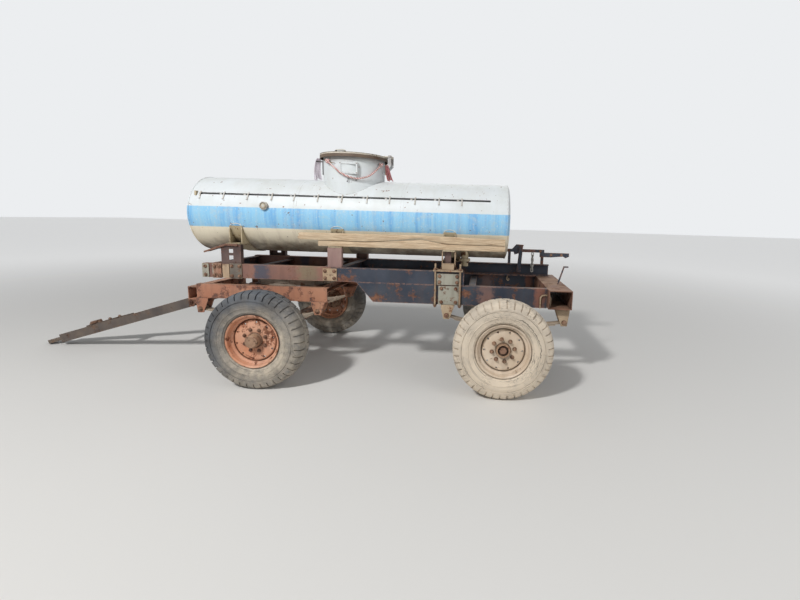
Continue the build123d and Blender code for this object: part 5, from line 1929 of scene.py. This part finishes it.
    def model_tyre(self) -> Piece:
        """The tyre about the origin with its outer side to -Y: spun, then grooved between its lugs.

        Returns:
            The tyre.
        """
        low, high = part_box("tyre_front_left")
        radius = (high.z - low.z) / 2
        half = (high.y - low.y) / 2
        bulge = [(half - back, reach) for back, reach in TYRE_BULGE]
        side = [*TYRE_BEAD, *bulge, *TYRE_SHOULDER, (0.009, radius)]
        profile = side + [(-out, reach) for out, reach in reversed(side)]
        piece = spun("tyre_model", profile, ORIGIN, self.tyre_steps, closed=True)
        start_edit(piece)
        select_faces(piece, self.in_groove)
        bpy.ops.mesh.extrude_region_shrink_fatten(
            TRANSFORM_OT_shrink_fatten={"value": -self.groove_depth, "use_even_offset": False}
        )
        select_all()
        bpy.ops.mesh.normals_make_consistent(inside=False)
        end_edit()
        return shade(piece, 28)


@dataclass(frozen=True)
class SpringPair:
    """One axle's two leaf springs, by the nodes that they stand for and fasten to."""

    node: str
    axle: str
    clamps: str
    hangers: str
    body: str
    # How far the front and rear eyes are from the axle, and how high they stand
    halves: Pair
    eye_heights: Pair


@dataclass
class Structure(Assembly):
    """The chassis, dolly, springs and drawbar: the frame's own nodes and what fastens them."""

    spring_y: float = 0.43
    leaf_count: int = 7
    leaf_thickness: float = 0.009
    leaf_width: float = 0.076
    leaf_flat: float = 0.074
    leaf_top: float = 0.56
    spring_pairs: tuple[SpringPair, ...] = (
        SpringPair(
            "front_springs", "front_axle", "front_spring_clamps", "dolly_hangers", "dolly",
            (0.798, 0.381), (0.6, 0.618),
        ),
        SpringPair(
            "rear_springs", "rear_axle", "rear_spring_clamps", "rear_hangers", "chassis",
            (0.54, 0.604), (0.628, 0.6),
        ),
    )
    # Each plate: distance behind the front axle, bottom, height, bolts along it
    plate_bolt_table: tuple[tuple[float, float, float, tuple[float, ...]], ...] = (
        (-0.73, 0.922, 0.136, (0.0,)),
        (-0.616, 0.918, 0.142, (-0.024, 0.024)),
        (-0.426, 0.916, 0.15, (-0.038, 0.038)),
        (0.508, 0.928, 0.122, (-0.045, 0.045)),
        (1.67, 0.928, 0.11, (-0.085, 0.085)),
        (1.675, 0.732, 0.186, (-0.07, 0.07)),
    )
    rear_clamp_station: float = 1.665
    pivot_station: float = -0.975
    pivot_height: float = 0.64
    drawbar_tilt: float = radians(17.325)
    # How far down the drawbar its strap's bolts and the lump on it are
    strap_bolt_reaches: tuple[float, ...] = (1.18, 1.3, 1.44, 1.54)
    lump_reach: float = 1.47
    # The tail chain's place behind the rear axle and across, and its links
    chain_at: Pair = (0.382, 0.392)
    chain_links: int = 7
    link_half: float = 0.013
    link_reach: float = 0.021
    # Along the trailer from the rear axle, height
    hook_line: tuple[Pair, ...] = (
        (0.099, 0.926), (0.099, 0.9), (0.09, 0.872), (0.108, 0.85), (0.122, 0.868), (0.112, 0.884),
    )
    carrier_bolts: tuple[Pair, ...] = ((0.1, 1.217), (0.47, 1.217), (0.6, 1.176), (0.72, 1.176))
    node_finishes: dict[str, tuple[str, ...]] = field(
        default_factory=lambda: {
            "saddle_cream": ("tank_saddles",),
            "post_purple": ("saddle_posts", "front_bent_plate"),
            "upper_rail": ("upper_rails",),
            "slate_rail": ("main_rails", "cross_members", "tail_carrier"),
            "grey_green_plate": ("rail_plates",),
            "cream_bracket": ("saddle_clamps", "side_hoop", "rear_hangers"),
            "brown_rust": ("rear_beam", "rear_axle", "front_axle", "drawbar_brackets"),
            "dull_steel": ("rear_spring_clamps", "front_spring_clamps"),
            "pale_leaf": ("turntable_upper_ring", "turntable_lower_ring"),
            "orange_rust": ("dolly_beams", "dolly_hangers"),
            "dark_drawbar": ("drawbar_legs",),
        }
    )

    def build(self) -> None:
        """Dresses the nodes and builds what fastens them."""
        self.front = middle_x("front_axle")
        self.rear = middle_x("rear_axle")
        for finish, nodes in self.node_finishes.items():
            self.dress_nodes(finish, *nodes)
        self.bent_edge()
        self.planks()
        for pair in self.spring_pairs:
            self.springs(pair)
        for pair in self.spring_pairs:
            self.clamp_nuts(pair)
        self.plate_bolts()
        for pair in self.spring_pairs:
            self.pin_nuts(pair)
        self.saddle_clamp_nuts()
        self.drawbar_fastenings()
        self.tail_fittings()

    def bent_edge(self) -> None:
        """The turned-down edge of the bent plate, on the near face of the front post."""
        low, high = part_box("front_bent_plate")
        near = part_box("saddle_posts")[0].y - 0.014
        knee = high.x - 0.12
        line = [(high.x, 0.01), (knee, 0.008), (low.x, -0.07)]
        line += [(low.x, -0.086), (knee, -0.014), (high.x, -0.016)]
        edge = slab("bent_plate_edge", [(x, high.z + rise) for x, rise in line], near, 0.016, 0.002)
        self.hand_over(edge, "brown_rust", "rust")

    def planks(self) -> None:
        """The plank on the posts, the warped board that stands on it and the splinter under its rise."""
        low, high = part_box("side_planks")
        front = self.front
        start, end = front + 0.38, high.x
        foot, top = low.z, low.z + 0.058
        chance = random.Random(17)
        stations = [start + (end - start) * step / 9 for step in range(10)]
        under = [(x, foot + chance.uniform(0, 0.003)) for x in stations]
        over = [(x, top - chance.uniform(0, 0.003)) for x in reversed(stations)]
        # Outlines as (x, height over the plank), from the board's raised end back along it and under it
        torn_end = ((0.008, 0.01), (0.0, 0.03), (0.02, 0.044), (0.004, 0.058), (0.03, 0.072))
        back = ((0.6, 0.074), (1.0, 0.076), (1.383, 0.078), (1.75, 0.07))
        rise = ((1.66, 0.002), (1.5, 0.026), (1.385, 0.053), (1.25, 0.036), (1.0, 0.01), (0.85, 0.002))
        wedge = ((0.95, 0.0), (1.25, 0.022), (1.4, 0.036), (1.52, 0.016), (1.62, 0.0))
        line = [(low.x + x, z) for x, z in torn_end] + [(front + x, z) for x, z in back]
        line += [(end - 0.004, 0.062), (end - 0.002, 0.002)] + [(front + x, z) for x, z in rise]
        line += [(start, 0.002), (low.x + 0.04, 0.004)]
        edge = ((start, 0.001), (start, 0.01), (end - 0.01, 0.01), (end - 0.01, 0.001))
        pieces = [
            slab("plank", under + over, -0.422, 0.04, 0.0025),
            slab("board", [(x, top + z) for x, z in line], -0.4318, 0.018, 0.002),
            slab("splinter", [(front + x, top - 0.001 + z) for x, z in wedge], -0.424, 0.03),
            slab("strip", [(x, top + z) for x, z in edge], -0.4125, 0.03, 0.001),
        ]
        self.hand_over(join(pieces, "plank_and_board"), "plank_wood", "plank_wood", ["side_planks"])

    def leaf_line(
        self, middle: float, way: int, half: float, eye: float, share: float, steps: int
    ) -> list[Pair]:
        """The upper line of one half of a leaf, from the axle outwards.

        Args:
            middle: Where the axle is.
            way: -1 for the front half, 1 for the rear one.
            half: How far the spring's eye is from the axle.
            eye: How high the eye is.
            share: How much of the way to the eye the leaf reaches.
            steps: How finely it is drawn.

        Returns:
            The line's points as (x, z).
        """
        reach = self.leaf_flat + (half - self.leaf_flat) * share
        line = []
        for step in range(steps + 1):
            along = reach * step / steps
            bent = max(along - self.leaf_flat, 0.0) / (half - self.leaf_flat)
            line.append((middle + way * along, self.leaf_top + (eye - self.leaf_top + 0.0045) * bent**2))
        return line

    def springs(self, pair: SpringPair) -> None:
        """A stack of curved leaves with its eyes and straps, on both sides.

        Args:
            pair: Which axle's springs.
        """
        middle = middle_x(pair.axle)
        halves = list(zip(SIDES, pair.halves, pair.eye_heights))
        pieces = []
        near = -self.spring_y - self.leaf_width / 2
        for leaf in range(self.leaf_count):
            share = 1 - max(leaf - 1, 0) / (self.leaf_count - 0.4)
            front, rear = (self.leaf_line(middle, *half, share, 12) for half in halves)
            upper = front[::-1] + rear[1:]
            drop = leaf * self.leaf_thickness
            outline = [(x, z - drop - 0.0004) for x, z in upper]
            outline += [(x, z - drop - self.leaf_thickness + 0.0004) for x, z in reversed(upper)]
            pieces.append(slab(f"leaf_{leaf}", outline, near, self.leaf_width, 0.0018))
        ring = [(-0.038, 0.0148), (-0.038, 0.0235), (0.038, 0.0235), (0.038, 0.0148)]
        for way, half, eye in halves:
            pieces.append(spun("eye", ring, (middle + way * half, -self.spring_y, eye), 28, closed=True))
            x, z = self.leaf_line(middle, way, half, eye, 0.46, 1)[1]
            low = (x - 0.014, near - 0.005, z - self.leaf_thickness * 4.2)
            pieces.append(block("strap", low, (x + 0.014, near + self.leaf_width + 0.005, z + 0.004)))
        stack = join(pieces, f"{pair.node}_leaves")
        other = copy_at(stack, Matrix.Translation((0, 2 * self.spring_y, 0)))
        both = join([stack, other], f"{pair.node}_leaves")
        self.hand_over(both, "pale_leaf", "bare_steel", [pair.node], pair.body)

    def clamp_nuts(self, pair: SpringPair) -> None:
        """The nuts of the spring bolts, above and under their plates.

        Args:
            pair: Which axle's springs.
        """
        low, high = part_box(pair.clamps)
        middle = (low.x + high.x) / 2
        places = [
            ((middle + along, side * self.spring_y + across, z), (0, 0, up))
            for side in SIDES
            for along in (-0.054, 0.054)
            for across in (-0.048, 0.048)
            for z, up in ((high.z, 1), (low.z, -1))
        ]
        name = f"{pair.clamps}_nuts"
        self.fasten(name, (0.027, 0.012, 1.25), places, 3, "dull_steel", "bare_steel", pair.body)

    def plate_bolts(self) -> None:
        """Bolts through the plates on the rails, on both sides."""
        places = [
            ((self.front + station + along, side * 0.469, z), (0, side, 0))
            for station, bottom, height, ways in self.plate_bolt_table
            for along in ways
            for z in (bottom + 0.026, bottom + height - 0.026)
            for side in SIDES
        ]
        self.fasten("rail_plate_bolts", (0.03, 0.011, 1.2), places, 4)

    def pin_nuts(self, pair: SpringPair) -> None:
        """The nuts on the ends of the spring pins.

        Args:
            pair: Which axle's springs.
        """
        middle = middle_x(pair.axle)
        places = [
            ((middle + way * half, side * self.spring_y + face * 0.0492, z), (0, face, 0))
            for way, half, z in zip(SIDES, pair.halves, pair.eye_heights)
            for side in SIDES
            for face in SIDES
        ]
        name = f"{pair.hangers}_pin_nuts"
        self.fasten(name, (0.04, 0.013, 1.25), places, 5, body=pair.body)

    def saddle_clamp_nuts(self) -> None:
        """Nuts on the long bolts, the tie rods and the clamp's block."""
        middle = self.front + self.rear_clamp_station
        places = []
        for side in SIDES:
            for along in (-0.12, 0.12):
                places.append(((middle + along, side * 0.479, 1.0745), (0, 0, 1)))
                places.append(((middle + along, side * 0.479, 0.732), (0, 0, -1)))
            for along in (-0.062, 0.062):
                places.append(((middle + along, side * 0.412, 1.0745), (0, 0, 1)))
        self.fasten("saddle_clamp_nuts", (0.034, 0.016, 1.3), places, 6)

    def drawbar_fastenings(self) -> None:
        """Pivot nuts, the strap's bolts and the lump of rust between them."""
        pivot = self.front + self.pivot_station
        places = [
            ((pivot, side * 0.32 + face * 0.0515, self.pivot_height), (0, face, 0))
            for side in SIDES
            for face in SIDES
        ]
        self.fasten("drawbar_pivot_nuts", (0.042, 0.012, 1.3), places, 7, "brown_rust", body="dolly")
        tilt = self.drawbar_tilt
        along = Vector((-cos(tilt), 0, -sin(tilt)))
        up = Vector((-sin(tilt), 0, cos(tilt)))
        start = Vector((pivot, 0, self.pivot_height))
        top = 0.0475 + 0.014
        places = [(start + along * reach + up * top, up) for reach in self.strap_bolt_reaches]
        self.fasten("drawbar_strap_bolts", (0.03, 0.012, 1.3), places, 8, body="drawbar")
        lump = block("drawbar_lump", (-0.03, -0.045, 0), (0.03, 0.045, 0.034), 0.008)
        place = start + along * self.lump_reach + up * (top - 0.003)
        lump.matrix_world = Matrix.Translation(place) @ Matrix.Rotation(-tilt, 4, "Y")
        self.hand_over(lump, "brown_rust", "rust", (), "drawbar")

    def tail_fittings(self) -> None:
        """The pale chain, the hook under the far rail and the bolts of the tail carrier."""
        along, across = self.chain_at
        half, reach = self.link_half, self.link_reach
        line = [(half, -reach), (half, reach), (0, reach + 0.006), (-half, reach)]
        line += [(-half, -reach), (0, -reach - 0.006), (half, -reach)]
        links = []
        for number in range(self.chain_links):
            turn = Matrix.Rotation(radians(90 * (number % 2) + 20), 4, "Z")
            at = Vector((self.rear + along, across, 1.176 - 0.03 * number))
            links.append(bent_rod("link", [turn @ Vector((x, 0, z)) + at for x, z in line], 0.0052))
        self.hand_over(join(links, "tail_chain"), "clip_white", "bare_steel")
        hook = bent_rod("rail_hook", [(self.rear + x, 0.42, z) for x, z in self.hook_line], 0.0065)
        self.hand_over(hook, "cream_bracket", "rust")
        places = [((self.rear + x, 0.3997, z), (0, -1, 0)) for x, z in self.carrier_bolts]
        self.fasten("tail_carrier_bolts", (0.026, 0.01, 1.3), places, 9)


# Camera, studio and the order of building


@dataclass
class PhotoCamera:
    """The viewpoint: where the eye stood beside the trailer and how its picture is framed."""

    behind_middle: float = 0.8896
    aside: float = -4.0912
    height: float = 1.57
    yaw: float = 0.0302
    pitch: float = 0.1326
    roll: float = 0.0305
    focal_px: float = 380.0
    centre_px: Pair = (470.3, 269.6)
    width_px: int = 800
    height_px: int = 600
    sensor_mm: float = 36.0

    def build(self, wheelbase_middle: float) -> None:
        """Sets up the camera.

        Args:
            wheelbase_middle: Where the middle of the wheelbase is.
        """
        level = cos(self.pitch)
        view = Vector((-sin(self.yaw) * level, cos(self.yaw) * level, -sin(self.pitch)))
        right = view.cross(Vector((0, 0, 1))).normalized()
        up = right.cross(view)
        leaned_right = right * cos(self.roll) + up * sin(self.roll)
        leaned_up = up * cos(self.roll) - right * sin(self.roll)
        turn = Matrix((leaned_right, leaned_up, -view)).transposed()
        lens = bpy.data.cameras.new("photo_camera")
        lens.sensor_fit = "HORIZONTAL"
        lens.sensor_width = self.sensor_mm
        lens.lens = self.focal_px / self.width_px * self.sensor_mm
        lens.shift_x = (self.width_px / 2 - self.centre_px[0]) / self.width_px
        lens.shift_y = (self.centre_px[1] - self.height_px / 2) / self.width_px
        lens.clip_end = 200
        camera = bpy.data.objects.new("photo_camera", lens)
        bpy.context.scene.collection.objects.link(camera)
        place = Matrix.Translation((wheelbase_middle + self.behind_middle, self.aside, self.height))
        camera.matrix_world = place @ turn.to_4x4()
        bpy.context.scene.camera = camera


@dataclass
class Studio:
    """Pale floor, pale surroundings and soft light."""

    floor_size: float = 120.0
    world_light: float = 0.24
    # Each lamp's offset from the trailer's middle, its size and its power
    lamps: dict[str, tuple[Point, float, float]] = field(
        default_factory=lambda: {
            "key_lamp": ((-3.5, -6.8, 6.4), 0.9, 680.0),
            "fill_lamp": ((6.5, -4.5, 3.0), 5.0, 130.0),
            "back_lamp": ((0.5, 6.5, 5.0), 5.0, 70.0),
        }
    )

    def build(self, middle: Vector) -> None:
        """Builds the studio round the trailer.

        Args:
            middle: The middle of the trailer.
        """
        self.floor()
        self.surroundings()
        for name, (offset, size, power) in self.lamps.items():
            self.lamp(name, middle + Vector(offset), middle, size, power)
        bpy.context.scene.view_settings.view_transform = "Standard"

    @staticmethod
    def seen(canvas: Canvas) -> Signal:
        """Whether a ray comes from the camera, a glossy surface or through glass.

        Args:
            canvas: The material's or the world's canvas.

        Returns:
            1 where it does, else 0.
        """
        path = canvas.add("ShaderNodeLightPath")
        camera, glossy, through = (
            Signal(canvas, path.outputs[f"Is {kind} Ray"]) for kind in ("Camera", "Glossy", "Transmission")
        )
        return camera.most(glossy).most(through)

    def floor(self) -> None:
        """The plain pale floor, which brightens with distance where it is seen."""
        clear_selection()
        bpy.ops.mesh.primitive_plane_add(size=self.floor_size, location=ORIGIN)
        floor = bpy.context.active_object
        floor.name = "floor"
        material, canvas, shader = new_material("floor_grey")
        away = canvas.out("ShaderNodeVectorMath", "Value", {0: canvas.place}, operation="LENGTH")
        canvas.feed(
            shader,
            {
                "Base Color": linear(222, 220, 216),
                "Roughness": 0.95,
                "Emission Color": linear(226, 227, 228),
                "Emission Strength": away.span(2.0, 14.0, 0.0, 0.58) * self.seen(canvas),
            },
        )
        floor.data.materials.append(material)

    def surroundings(self) -> None:
        """A pale surrounding that the camera and glossy surfaces see, and a weaker one for light."""
        world = bpy.data.worlds.new("pale_surroundings")
        bpy.context.scene.world = world
        world.use_nodes = True
        world.node_tree.nodes.clear()
        canvas = Canvas(world.node_tree)
        dim_light = {"Color": (0.93, 0.96, 1.0, 1.0), "Strength": self.world_light}
        dim = canvas.out("ShaderNodeBackground", 0, dim_light)
        bright = canvas.out("ShaderNodeBackground", 0, {"Color": linear(236, 238, 240), "Strength": 1.0})
        mixed = canvas.out("ShaderNodeMixShader", 0, {0: self.seen(canvas), 1: dim, 2: bright})
        canvas.add("ShaderNodeOutputWorld", {"Surface": mixed})

    @staticmethod
    def lamp(name: str, place: Vector, target: Vector, size: float, power: float) -> None:
        """Hangs one soft lamp.

        Args:
            name: The lamp's name.
            place: Where it hangs.
            target: What it is turned to.
            size: How large it is.
            power: How strong it is.
        """
        light = bpy.data.lights.new(name, "AREA")
        light.size = size
        light.energy = power
        lamp = bpy.data.objects.new(name, light)
        bpy.context.scene.collection.objects.link(lamp)
        lamp.location = place
        lamp.rotation_euler = (target - place).to_track_quat("-Z", "Y").to_euler()


def wheel_centres() -> dict[str, Point]:
    """The centre of each wheel, from the frame.

    Returns:
        Each wheel's name and centre.
    """
    centres = {}
    for name in ("front_left", "front_right", "rear_left", "rear_right"):
        low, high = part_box(f"tyre_{name}")
        centres[name] = tuple((low + high) / 2)
    return centres


def main() -> None:
    """Builds the camera, the hatch with its cord, every other sub-assembly and the studio."""
    logging.basicConfig(level=logging.INFO, format="%(message)s")
    centres = wheel_centres()
    wheelbase_middle = (centres["front_left"][0] + centres["rear_left"][0]) / 2
    PhotoCamera().build(wheelbase_middle)
    finishes = Finishes(centres)
    Hatch(finishes).build()
    Tank(finishes).build()
    Wheels(finishes, centres=centres).build()
    Structure(finishes).build()
    Studio().build(Vector((wheelbase_middle, 0, 1.0)))


if __name__ == "__main__":
    main()
